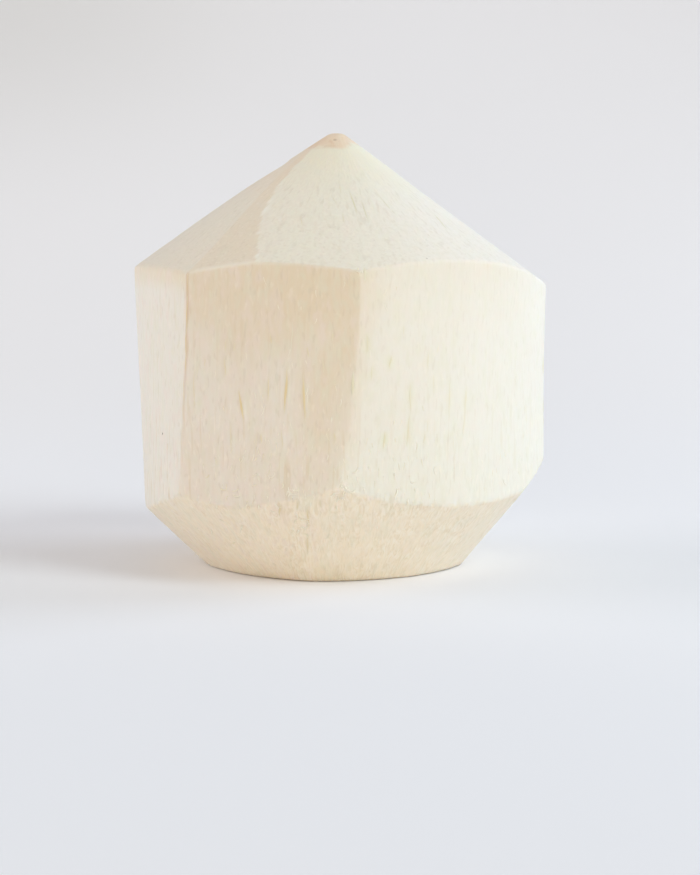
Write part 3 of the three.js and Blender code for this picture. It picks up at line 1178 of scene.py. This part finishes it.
def paint_slits(paint, settings, on):
    """The torn lips with the painted highlight along the shoulder, the sap, the slits and the long split.
    """
    # Pale fibre of the lips, and the painted highlight along the shoulder.
    paint.coat(settings.lip_and_highlight_colour, on.lip * 0.7)
    paint.coat(settings.sap_colour, on.sap * on.fresh * 0.55)
    slit_colour = paint.tree.mix(settings.amber_colour, settings.olive_colour,
                                 on.on_cone + on.fresh * (1 - on.on_cone) * 0.35)
    paint.coat(slit_colour, on.slit * (0.45 - 0.10 * on.fresh * (1 - on.on_cone)))
    paint.coat(settings.rust_colour, on.split * 0.54)


def paint_tip(paint, settings, on):
    """The brown skin left on the tip, blotched and darker along its rim."""
    blotches = paint.tree.noise(on.place, 0.45, 0.45, detail=3.0, shift=97.0)
    skin = paint.tree.mix(settings.skin_colour, settings.rust_colour, blotches.ramp(0.52, 0.8) * 0.24)
    paint.coat(skin, on.tip)
    paint.coat(settings.rust_colour, on.tip_left * 0.15)
    paint.coat(settings.rust_colour, on.tip_rim * blotches.ramp(0.42, 0.62) * 0.22)


def paint_specks(paint, settings, on):
    for speck in SPECKS:
        centre = spot_on_husk(speck.heading, speck.height, settings.relief)
        away = paint.tree.add("ShaderNodeVectorMath", {"operation": "DISTANCE"},
                              {0: on.place, 1: centre}, "Value")
        spot = away.ramp(0.9 * speck.breadth, 0.3 * speck.breadth)
        paint.coat(settings.speck_colour, spot * speck.darkness)


def husk_bump(tree, settings, on, seen):
    """Fibres too fine for the mesh."""
    height = seen.dashes * 0.4 + seen.threads * (0.17 - 0.08 * on.on_cheek)
    height = height + seen.matted * (0.10 + 0.9 * on.torn - 0.55 * on.on_cheek)
    marks = (seen.pale_dashes + seen.chips - seen.pits) * 0.3
    height = (height + marks - seen.ticks * 0.8) * (1 - 0.55 * on.fresh)
    height = height + seen.tangle * on.tufted * 2.0 + seen.wisps * seen.wispy * 0.4
    return tree.add("ShaderNodeBump", {}, {
        "Strength": 1.0, "Distance": settings.bump_height, "Height": height})


def husk_material(settings):
    """Dry cut husk: cream fibre with a short grain, tan where it dried."""
    material, tree = new_material(HUSK_NAME)
    on = husk_values(tree)
    seen = fibre_patterns(tree, on)
    warmth = seen.patches.ramp(0.35, 0.65) * 0.5 + seen.threads.ramp(0.35, 0.65) * (0.5 - 0.3 * on.left)
    paint = Paint(tree, tree.mix(settings.pale_colour, settings.warm_colour, warmth))
    paint_cuts(paint, settings, on, seen)
    paint_fibre(paint, settings, on, seen)
    paint_slits(paint, settings, on)
    paint_tip(paint, settings, on)
    paint_specks(paint, settings, on)
    tree.finish({"Base Color": paint.colour, "Roughness": 0.78 + 0.14 * seen.threads.ramp(0.3, 0.7),
                 "Normal": husk_bump(tree, settings, on, seen), "Specular IOR Level": 0.25, **GLOW})
    return material


def strand_material(settings):
    """Amber strands, greener on the fresh side, fading to the husk's colour at their edges."""
    material, tree = new_material(STRANDS_NAME)
    across, back, _ = tree.axes()
    bare = tree.mix(settings.core_colour, settings.fresh_core_colour,
                    across.ramp(-0.002, 0.003) * back.ramp(0.02, -0.01))
    colour = tree.mix(settings.edge_colour, bare, tree.attribute("core"))
    tree.finish({"Base Color": colour, "Roughness": 0.7, "Specular IOR Level": 0.2})
    return material


def fibre_material(name, settings):
    """Loose fibres, from pale to straw."""
    material, tree = new_material(name)
    tone = tree.attribute("tone").ramp(0.45, 1.0)
    colour = tree.mix(settings.pale_colour, settings.straw_colour, tone)
    tree.finish({"Base Color": colour, "Roughness": 0.75, "Specular IOR Level": 0.2})
    return material


def backdrop_material(settings):
    """A matt sheet, cooler over the floor, with painted shade in its upper left corner and painted light
    towards its left side.
    """
    material, tree = new_material("backdrop")
    across, back, height = tree.axes()
    colour = tree.mix(settings.floor_colour, settings.wall_colour, back.ramp(-0.3, 0.7))
    # Painted shade: the upper left corner of the sheet is darkened.
    corner = across.ramp(0.1, -0.35) * height.ramp(0.08, 0.32)
    colour = tree.mix(colour, settings.corner_shade_colour, corner)
    # Painted light: the sheet is up to 2.5 % lighter towards its left.
    colour = tree.scale(colour, 0.975 + 0.025 * across.ramp(0.08, -0.15))
    tree.finish({"Base Color": colour, "Roughness": 0.9, "Specular IOR Level": 0.1})
    return material


# ---------------------------------------------------------------------------------------------
# Loose fibres, grown out of the husk by geometry nodes.

# number: the setting that says how many; where: the husk's value that says where they grow; points:
# along each fibre; tilt: degrees that they may stand askew of the grain; seed: their own random
# seed. Length and thickness are in metres, curl and lift in radians.
Fibres = namedtuple("Fibres", "name number where points tilt seed length thickness curl lift")

FIBRES = (
    Fibres("lying_fibres", "lying", "fibrous", 4, 10, 3, 0.0028, 0.00010, 0.7, 0.01),
    Fibres("curled_fibres", "curled", "curly", 9, 60, 5, 0.0030, 0.00020, 2.6, 0.02),
    Fibres("tuft_fibres", "tufts", "tufted", 10, 90, 7, 0.0021, 0.00026, 2.0, 0.04),
    Fibres("rim_hairs", "hairs", "rim", 6, 50, 9, 0.0030, 0.00007, 1.6, 0.4),
)


class FibreTree(Tree):
    """Grows fibres on a husk mesh, each one bent its own way."""

    def __init__(self, node_tree, fibres):
        super().__init__(node_tree)
        self.fibres = fibres
        self.face = node_tree.interface
        self.draws = 0

    def socket(self, name, kind, in_out="INPUT"):
        return self.face.new_socket(name=name, in_out=in_out, socket_type=kind)

    def draw(self, low, high):
        """A random number for each fibre."""
        self.draws += 1
        return self.add("FunctionNodeRandomValue", {"data_type": "FLOAT"},
                        {"Min": low, "Max": high, "Seed": 100 * self.fibres.seed + self.draws}, 1)

    def named(self, name, kind="FLOAT"):
        return self.add("GeometryNodeInputNamedAttribute", {"data_type": kind}, {"Name": name})

    def keep(self, geometry, name, value, kind="FLOAT"):
        return self.add("GeometryNodeStoreNamedAttribute", {"data_type": kind, "domain": "POINT"},
                        {"Geometry": geometry, "Name": name, "Value": value})

    def grow(self, material, box):
        self.socket("Geometry", "NodeSocketGeometry", "OUTPUT")
        self.socket("Geometry", "NodeSocketGeometry")
        for name in ("Density", "Length", "Thickness", "Curl", "Lift"):
            self.socket(name, "NodeSocketFloat")
        inputs = self.nodes.new("NodeGroupInput").outputs
        given = {socket.name: Value(self, socket) for socket in inputs if socket.name}
        fibres = self.skinned(self.lines(self.roots(given), box))
        fibres = self.add("GeometryNodeRealizeInstances", {}, {"Geometry": fibres})
        fibres = self.add("GeometryNodeSetMaterial", {}, {"Geometry": fibres, "Material": material})
        output = self.nodes.new("NodeGroupOutput")
        self.links.new(fibres.socket, output.inputs["Geometry"])

    def roots(self, given):
        """Where the fibres leave the husk, each with the values that shape it."""
        roots = self.node("GeometryNodeDistributePointsOnFaces", {"distribute_method": "RANDOM"}, {
            "Mesh": given["Geometry"], "Density": given["Density"] * self.named(self.fibres.where),
            "Seed": self.fibres.seed})
        points, out = Value(self, roots.outputs["Points"]), Value(self, roots.outputs["Normal"])
        points = self.keep(points, "root", self.add("GeometryNodeInputPosition", {}, {}), "FLOAT_VECTOR")
        points = self.keep(points, "out", out, "FLOAT_VECTOR")
        points = self.keep(points, "askew", self.draw(-1.0, 1.0) * math.radians(self.fibres.tilt))
        points = self.keep(points, "reach", given["Length"] * self.draw(0.35, 1.0))
        points = self.keep(points, "bend", given["Curl"] * self.draw(0.3, 1.0))
        points = self.keep(points, "stand", given["Lift"] * self.draw(-0.1, 1.0))
        side = self.draw(0.0, 1.0).ramp(0.49, 0.51) * 2.0 - 1.0
        points = self.keep(points, "roll", side * self.draw(1.15, 1.6))
        points = self.keep(points, "girth", given["Thickness"] * self.draw(0.6, 1.2))
        return self.keep(points, "tone", self.draw(0.0, 1.0))

    def lines(self, points, box):
        """A line from each root, bent its own way and kept inside a box."""
        line = self.add("GeometryNodeCurvePrimitiveLine", {"mode": "POINTS"},
                        {"Start": (0, 0, 0), "End": (0, 0, 0.001)})
        line = self.add("GeometryNodeResampleCurve", {}, {"Curve": line, "Count": self.fibres.points})
        lines = self.add("GeometryNodeInstanceOnPoints", {}, {"Points": points, "Instance": line})
        lines = self.add("GeometryNodeRealizeInstances", {}, {"Geometry": lines})
        low, high = box
        place = self.vector("MAXIMUM", self.vector("MINIMUM", self.bent(), high), low)
        lines = self.add("GeometryNodeSetPosition", {}, {"Geometry": lines, "Position": place})
        return self.add("GeometryNodeSetCurveNormal", {"mode": "FREE"},
                        {"Curve": lines, "Normal": self.named("out", "FLOAT_VECTOR")})

    def along_fibre(self):
        """The share of the way from a fibre's root to its end."""
        return self.add("GeometryNodeSplineParameter", {}, {}, "Factor")

    def bent(self):
        """Where a fibre runs: an arc that leaves the husk along its grain."""
        out, along = self.named("out", "FLOAT_VECTOR"), self.named("along", "FLOAT_VECTOR")
        side = self.vector("CROSS_PRODUCT", out, along)
        askew, stand, roll, bend = (self.named(name) for name in ("askew", "stand", "roll", "bend"))
        flat = self.total(self.scale(along, askew.cosine()), self.scale(side, askew.sine()))
        aside = self.vector("CROSS_PRODUCT", out, flat)
        ahead = self.total(self.scale(flat, stand.cosine()), self.scale(out, stand.sine()))
        upward = self.total(self.scale(out, stand.cosine()), self.scale(flat, 0 - stand.sine()))
        turning = self.total(self.scale(upward, roll.cosine()), self.scale(aside, roll.sine()))
        turned = bend * self.along_fibre()
        radius = self.named("reach") / bend
        return self.total(self.named("root", "FLOAT_VECTOR"),
                          self.scale(ahead, radius * turned.sine()),
                          self.scale(turning, radius * (1 - turned.cosine())))

    def skinned(self, lines):
        """Flat fibres along the lines, thinner towards their ends."""
        share = self.along_fibre()
        profile = self.add("GeometryNodeCurvePrimitiveCircle", {}, {"Resolution": 4, "Radius": 1.0})
        profile = self.add("GeometryNodeTransform", {}, {"Geometry": profile, "Scale": (0.30, 1.0, 1.0)})
        return self.add("GeometryNodeCurveToMesh", {}, {
            "Curve": lines, "Profile Curve": profile,
            "Scale": self.named("girth") * (1 - 0.85 * (share * share)), "Fill Caps": True})


def grow_fibres(fibres, number, husk, material, box):
    """A piece of loose fibres grown on the husk, as a plain mesh."""
    node_tree = bpy.data.node_groups.new(fibres.name, "GeometryNodeTree")
    FibreTree(node_tree, fibres).grow(material, box)
    piece = new_piece(fibres.name, husk.data.copy(), material)
    modifier = piece.modifiers.new(fibres.name, "NODES")
    modifier.node_group = node_tree
    amounts = {"Density": number / covered_area(husk.data, fibres.where), "Length": fibres.length,
               "Thickness": fibres.thickness, "Curl": fibres.curl, "Lift": fibres.lift}
    for item in node_tree.interface.items_tree:
        if item.in_out == "INPUT" and item.name in amounts:
            modifier[item.identifier] = amounts[item.name]
    graph = bpy.context.evaluated_depsgraph_get()
    grown = bpy.data.meshes.new_from_object(piece.evaluated_get(graph), depsgraph=graph)
    piece.modifiers.clear()
    bare = piece.data
    piece.data = grown
    bpy.data.meshes.remove(bare)
    if not len(grown.polygons):
        raise RuntimeError(f"{fibres.name}: no fibres grew")
    drop_spent_values(grown)
    return piece


def drop_spent_values(mesh):
    """Removes the values that only shaped the fibres, and keeps the one that colours them."""
    kept = ("tone", "position", "material_index", "sharp_face")
    spent = [attribute.name for attribute in mesh.attributes
             if not attribute.name.startswith(".") and attribute.name not in kept]
    for name in spent:
        mesh.attributes.remove(mesh.attributes[name])


def covered_area(mesh, name):
    """Square metres of a mesh, each weighed by a value kept on it."""
    count = len(mesh.polygons)
    areas = np.empty(count)
    mesh.polygons.foreach_get("area", areas)
    starts = np.empty(count, dtype=np.int64)
    mesh.polygons.foreach_get("loop_start", starts)
    corners = np.empty(len(mesh.loops), dtype=np.int64)
    mesh.loops.foreach_get("vertex_index", corners)
    values = np.empty(len(mesh.vertices), dtype=np.float32)
    mesh.attributes[name].data.foreach_get("value", values)
    return float((areas * values[corners[starts]]).sum())


# ---------------------------------------------------------------------------------------------
# Settings.

def colour_property(name, description, default):
    return FloatVectorProperty(name=name, description=description, default=default, subtype="COLOR",
                               min=0.0, max=1.0)


def count_property(name, description, default, most):
    return IntProperty(name=name, description=description, default=default, min=0, max=most)


def number_property(name, description, default, **limits):
    return FloatProperty(name=name, description=description, default=default, **limits)


class HuskSettings(bpy.types.PropertyGroup):
    relief: number_property("Grain Relief", "Depth of the grain in the cut husk", 1.0,
                            min=0.0, max=3.0, subtype="FACTOR")
    slit_depth: number_property("Slit Depth", "Depth of the slits along the grain", 1.0,
                                min=0.0, max=3.0, subtype="FACTOR")
    bump_height: number_property("Fibre Height", "Height of the finest fibres", 0.00007, unit="LENGTH")
    pale_colour: colour_property("Pale Husk", "Fresh cut husk", (0.868, 0.815, 0.730))
    warm_colour: colour_property("Warm Husk", "Husk between the fibres", (0.853, 0.785, 0.682))
    cone_colour: colour_property("Cone Husk", "Husk cut across the fibres", (0.885, 0.85, 0.745))
    fresh_colour: colour_property("Fresh Husk", "Husk cut last, at the right", (0.87, 0.85, 0.765))
    left_colour: colour_property("Left Husk", "The cut at the left", (0.862, 0.840, 0.766))
    pale_cone_colour: colour_property("Pale Cone", "The cone at the right", (0.905, 0.862, 0.785))
    top_cone_colour: colour_property("Cone Top", "The cone round its tip", (0.885, 0.845, 0.692))
    # Partly painted shade: darker than the front cone, for the cut turned away from the key light.
    left_cone_and_shade_colour: colour_property("Left Cone", "The cone's cut at the left", (0.84, 0.755, 0.625))
    # Also paints the highlight along the shoulder.
    lip_and_highlight_colour: colour_property("Lip", "Raised, freshly torn fibre", (0.95, 0.92, 0.84))
    fleck_colour: colour_property("Fleck", "Raised ends of fibres", (0.985, 0.915, 0.80))
    # Partly painted light: lighter and warmer than the husk, for warm light bounced up onto the cheeks.
    cheek_and_bounce_colour: colour_property("Cheek Husk", "Matted husk near the foot", (0.950, 0.845, 0.677))
    tan_colour: colour_property("Dried Husk", "Husk that dried to tan", (0.825, 0.722, 0.562))
    green_colour: colour_property("Green Tinge", "Husk with a trace of green", (0.82, 0.80, 0.66))
    pink_colour: colour_property("Pink Tinge", "Husk with a trace of pink", (0.88, 0.78, 0.71))
    # Partly painted shade, for the hollows between fibres.
    straw_colour: colour_property("Straw", "Hollows and darker fibres", (0.60, 0.52, 0.405))
    amber_colour: colour_property("Amber", "Husk stained along the slits", (0.72, 0.60, 0.40))
    olive_colour: colour_property("Olive", "The slits in the cone, darkened", (0.61, 0.60, 0.45))
    sap_colour: colour_property("Sap", "Sap dried beside the slits of the fresh cut", (0.81, 0.82, 0.54))
    rust_colour: colour_property("Rust", "The long split and the rim of the tip", (0.60, 0.33, 0.155))
    skin_colour: colour_property("Tip Skin", "The skin left on the tip", (0.865, 0.715, 0.56))
    speck_colour: colour_property("Speck", "Small dark specks", (0.16, 0.11, 0.07))


class StrandSettings(bpy.types.PropertyGroup):
    edge_colour: colour_property("Strand Edge", "Where a strand meets the husk", (0.855, 0.815, 0.69))
    core_colour: colour_property("Strand", "The bare strand itself", (0.81, 0.66, 0.38))
    fresh_core_colour: colour_property(
        "Fresh Strand", "A bare strand on the fresh side", (0.765, 0.70, 0.43))


class FibreSettings(bpy.types.PropertyGroup):
    lying: count_property("Lying Fibres", "Short fibres that lie along the grain", 360, 6000)
    curled: count_property("Curled Fibres", "Torn fibres that curl near the cheeks", 56, 3000)
    tufts: count_property("Tuft Fibres", "Fibres that stand up in the tufts", 44, 1000)
    hairs: count_property("Rim Hairs", "Hairs round the rim of the foot", 260, 2000)
    pale_colour: colour_property("Pale Fibre", "Fresh loose fibre", (0.99, 0.94, 0.81))
    straw_colour: colour_property("Straw Fibre", "Dried loose fibre", (0.96, 0.88, 0.70))


class StageSettings(bpy.types.PropertyGroup):
    focal_length: number_property("Focal Length", "Lens, in millimetres", 85.0)
    distance: number_property("Distance", "Camera to the nut's axis", 0.6405, unit="LENGTH")
    elevation: number_property("Elevation", "Camera above the horizon", math.radians(3.5), subtype="ANGLE")
    roll: number_property("Roll", "Camera turned about its own line of sight", math.radians(0.45),
                          subtype="ANGLE")
    key_power: number_property("Key Light", "Daylight from the right", 9.9, unit="POWER")
    rim_power: number_property("Rim Light", "Daylight from behind, right", 8.4, unit="POWER")
    left_power: number_property("Left Light", "Light from the left", 7.2, unit="POWER")
    low_power: number_property("Low Light", "Warm light from low in front", 4.05, unit="POWER")
    wall_power: number_property("Wall Light", "Light on the backdrop", 7.2, unit="POWER")
    room_light: number_property("Room Light", "Light from all round", 0.36, min=0.0)
    floor_colour: colour_property("Floor", "The sheet under the nut", (0.935, 0.943, 0.984))
    wall_colour: colour_property("Wall", "The sheet behind the nut", (0.943, 0.935, 0.946))
    # Painted shade for the upper left corner of the sheet.
    corner_shade_colour: colour_property("Corner", "Upper left corner of the sheet", (0.84, 0.83, 0.82))


# ---------------------------------------------------------------------------------------------
# The studio, in metres.

NUT_MIDDLE = (0.0, 0.0, 0.066)
WALL_MIDDLE = (0.0, 2.3, 0.7)
CAMERA_PIVOT = (0.0, 0.0, 0.068)
CAMERA_AIM = (0.0048, 0.0, 0.0392)
ROOM_COLOUR = (1.0, 0.98, 0.96)

AreaLight = namedtuple("AreaLight", "name power colour size place target")

# power: the setting that says how strong each light is.
LIGHTS = (
    AreaLight("key_light", "key_power", (0.87, 0.97, 1.0), (0.7, 0.9), (1.05, -0.75, 1.04), NUT_MIDDLE),
    AreaLight("rim_light", "rim_power", (0.75, 0.845, 0.985), (0.8, 0.8), (1.30, 0.45, 0.70), NUT_MIDDLE),
    AreaLight("left_light", "left_power", (1.0, 0.97, 0.98), (1.0, 0.9), (-1.35, 0.10, 0.55), NUT_MIDDLE),
    AreaLight("low_light", "low_power", (1.0, 0.72, 0.39), (1.3, 0.24), (-0.10, -1.40, 0.16), NUT_MIDDLE),
    AreaLight("wall_light", "wall_power", (1.0, 0.99, 0.99), (1.6, 0.5), (0.0, 0.70, 1.70), WALL_MIDDLE),
)

# The backdrop: half its width, where its floor begins in front and its wall stands behind, the
# height of the wall, and the radius and steps of the bend between them.
SHEET_HALF_WIDTH = 4.0
SHEET_FRONT = -3.0
SHEET_BACK = 2.4
WALL_HEIGHT = 4.0
BEND_RADIUS = 1.9
BEND_STEPS = 16


def light_up(light, power):
    data = bpy.data.lights.new(light.name, "AREA")
    data.energy, data.color, data.shape = power, light.colour, "RECTANGLE"
    data.size, data.size_y = light.size
    lamp = bpy.data.objects.new(light.name, data)
    lamp.location = light.place
    sight = Vector(light.target) - Vector(light.place)
    lamp.rotation_euler = sight.to_track_quat("-Z", "Y").to_euler()
    bpy.context.scene.collection.objects.link(lamp)


def backdrop_mesh():
    """A floor that sweeps up into a wall behind, in one smooth sheet."""
    bend_start = SHEET_BACK - BEND_RADIUS
    profile = [(y, 0.0) for y in (SHEET_FRONT, -1.0, 0.0, bend_start)]
    for step in range(1, BEND_STEPS + 1):
        angle = math.pi / 2 * step / BEND_STEPS
        profile.append((bend_start + BEND_RADIUS * math.sin(angle), BEND_RADIUS * (1 - math.cos(angle))))
    profile.append((SHEET_BACK, WALL_HEIGHT))
    points = [(x, y, z) for x in (-SHEET_HALF_WIDTH, SHEET_HALF_WIDTH) for y, z in profile]
    count = len(profile)
    faces = [(i, i + count, i + count + 1, i + 1) for i in range(count - 1)]
    mesh = bpy.data.meshes.new("backdrop")
    mesh.from_pydata(points, [], faces)
    mesh.shade_smooth()
    return mesh


def new_room(strength):
    """Even light from all round."""
    world = bpy.data.worlds.new("room")
    world.use_nodes = True
    background = world.node_tree.nodes["Background"]
    background.inputs["Color"].default_value = opaque(ROOM_COLOUR)
    background.inputs["Strength"].default_value = strength
    return world


def new_camera(settings):
    data = bpy.data.cameras.new("camera")
    data.lens, data.sensor_width, data.clip_end = settings.focal_length, 36.0, 50.0
    camera = bpy.data.objects.new("camera", data)
    sight = Vector((0.0, -math.cos(settings.elevation), math.sin(settings.elevation)))
    camera.location = Vector(CAMERA_PIVOT) + sight * settings.distance
    look = (Vector(CAMERA_AIM) - camera.location).to_track_quat("-Z", "Y")
    roll = Euler((0.0, 0.0, settings.roll)).to_quaternion()
    camera.rotation_euler = (look @ roll).to_euler()
    bpy.context.scene.collection.objects.link(camera)
    return camera


# ---------------------------------------------------------------------------------------------
# Operators.

def new_piece(name, mesh, material):
    piece = bpy.data.objects.new(name, mesh)
    bpy.context.scene.collection.objects.link(piece)
    mesh.materials.clear()
    mesh.materials.append(material)
    return piece


class COCONUT_OT_husk(bpy.types.Operator):
    """Build the cut husk, which stands for the plain solid"""
    bl_idname = "coconut.husk"
    bl_label = "Cut Husk"

    def execute(self, context):
        settings = context.scene.coconut_husk
        mesh = husk_mesh(settings.relief, settings.slit_depth)
        husk = new_piece(HUSK_NAME, mesh, husk_material(settings))
        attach(husk, BODY)
        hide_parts(NODE)
        return {"FINISHED"}


class COCONUT_OT_strands(bpy.types.Operator):
    """Lay the bare strands in the slits of the husk"""
    bl_idname = "coconut.strands"
    bl_label = "Bare Strands"

    def execute(self, context):
        husk = context.scene.coconut_husk
        slits = SIDE_SLITS + SPLIT_SLITS + CONE_SLITS + spare_slits()
        mesh = strand_mesh(slits, husk.relief, husk.slit_depth)
        strands = new_piece(STRANDS_NAME, mesh, strand_material(context.scene.coconut_strands))
        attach(strands, BODY)
        return {"FINISHED"}


class COCONUT_OT_fibres(bpy.types.Operator):
    """Grow the loose fibres, the tufts and the rim hairs"""
    bl_idname = "coconut.fibres"
    bl_label = "Loose Fibres"

    def execute(self, context):
        settings = context.scene.coconut_fibres
        husk = bpy.data.objects.get(HUSK_NAME)
        if husk is None:
            raise RuntimeError("Build the cut husk before its fibres")
        inside = Vector((FIBRE_MARGIN, FIBRE_MARGIN, FIBRE_MARGIN))
        box = tuple(Vector(CAD_BOX[0]) + inside), tuple(Vector(CAD_BOX[1]) - inside)
        for fibres in FIBRES:
            number = getattr(settings, fibres.number)
            piece = grow_fibres(fibres, number, husk, fibre_material(fibres.name, settings), box)
            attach(piece, BODY)
        return {"FINISHED"}


class COCONUT_OT_stage(bpy.types.Operator):
    """Set up the floor, the soft lights and the camera"""
    bl_idname = "coconut.stage"
    bl_label = "Studio"

    def execute(self, context):
        scene = context.scene
        settings = scene.coconut_stage
        backdrop = new_piece("backdrop", backdrop_mesh(), backdrop_material(settings))
        for light in LIGHTS:
            light_up(light, getattr(settings, light.power))
        scene.world = new_room(settings.room_light)
        scene.view_settings.view_transform = "Standard"
        scene.camera = new_camera(settings)
        return {"FINISHED"}


# The panel's groups: the operators, and the settings each one reads.
GROUPS = (
    (COCONUT_OT_husk, "coconut_husk", HuskSettings),
    (COCONUT_OT_strands, "coconut_strands", StrandSettings),
    (COCONUT_OT_fibres, "coconut_fibres", FibreSettings),
    (COCONUT_OT_stage, "coconut_stage", StageSettings),
)


class COCONUT_PT_panel(bpy.types.Panel):
    """Lists the coconut's pieces and their settings"""
    bl_label = "Trimmed Coconut"
    bl_idname = "COCONUT_PT_panel"
    bl_space_type = "VIEW_3D"
    bl_region_type = "UI"
    bl_category = "Coconut"

    def draw(self, context):
        for operator, name, group in GROUPS:
            box = self.layout.box()
            box.operator(operator.bl_idname)
            for setting in group.__annotations__:
                box.prop(getattr(context.scene, name), setting)


def register():
    for operator, name, group in GROUPS:
        bpy.utils.register_class(group)
        bpy.utils.register_class(operator)
        setattr(bpy.types.Scene, name, PointerProperty(type=group))
    bpy.utils.register_class(COCONUT_PT_panel)


def unregister():
    bpy.utils.unregister_class(COCONUT_PT_panel)
    for operator, name, group in reversed(GROUPS):
        delattr(bpy.types.Scene, name)
        bpy.utils.unregister_class(operator)
        bpy.utils.unregister_class(group)


def main():
    register()
    for operator, _, _ in GROUPS:
        group, name = operator.bl_idname.split(".")
        getattr(getattr(bpy.ops, group), name)()


if __name__ == "__main__":
    main()
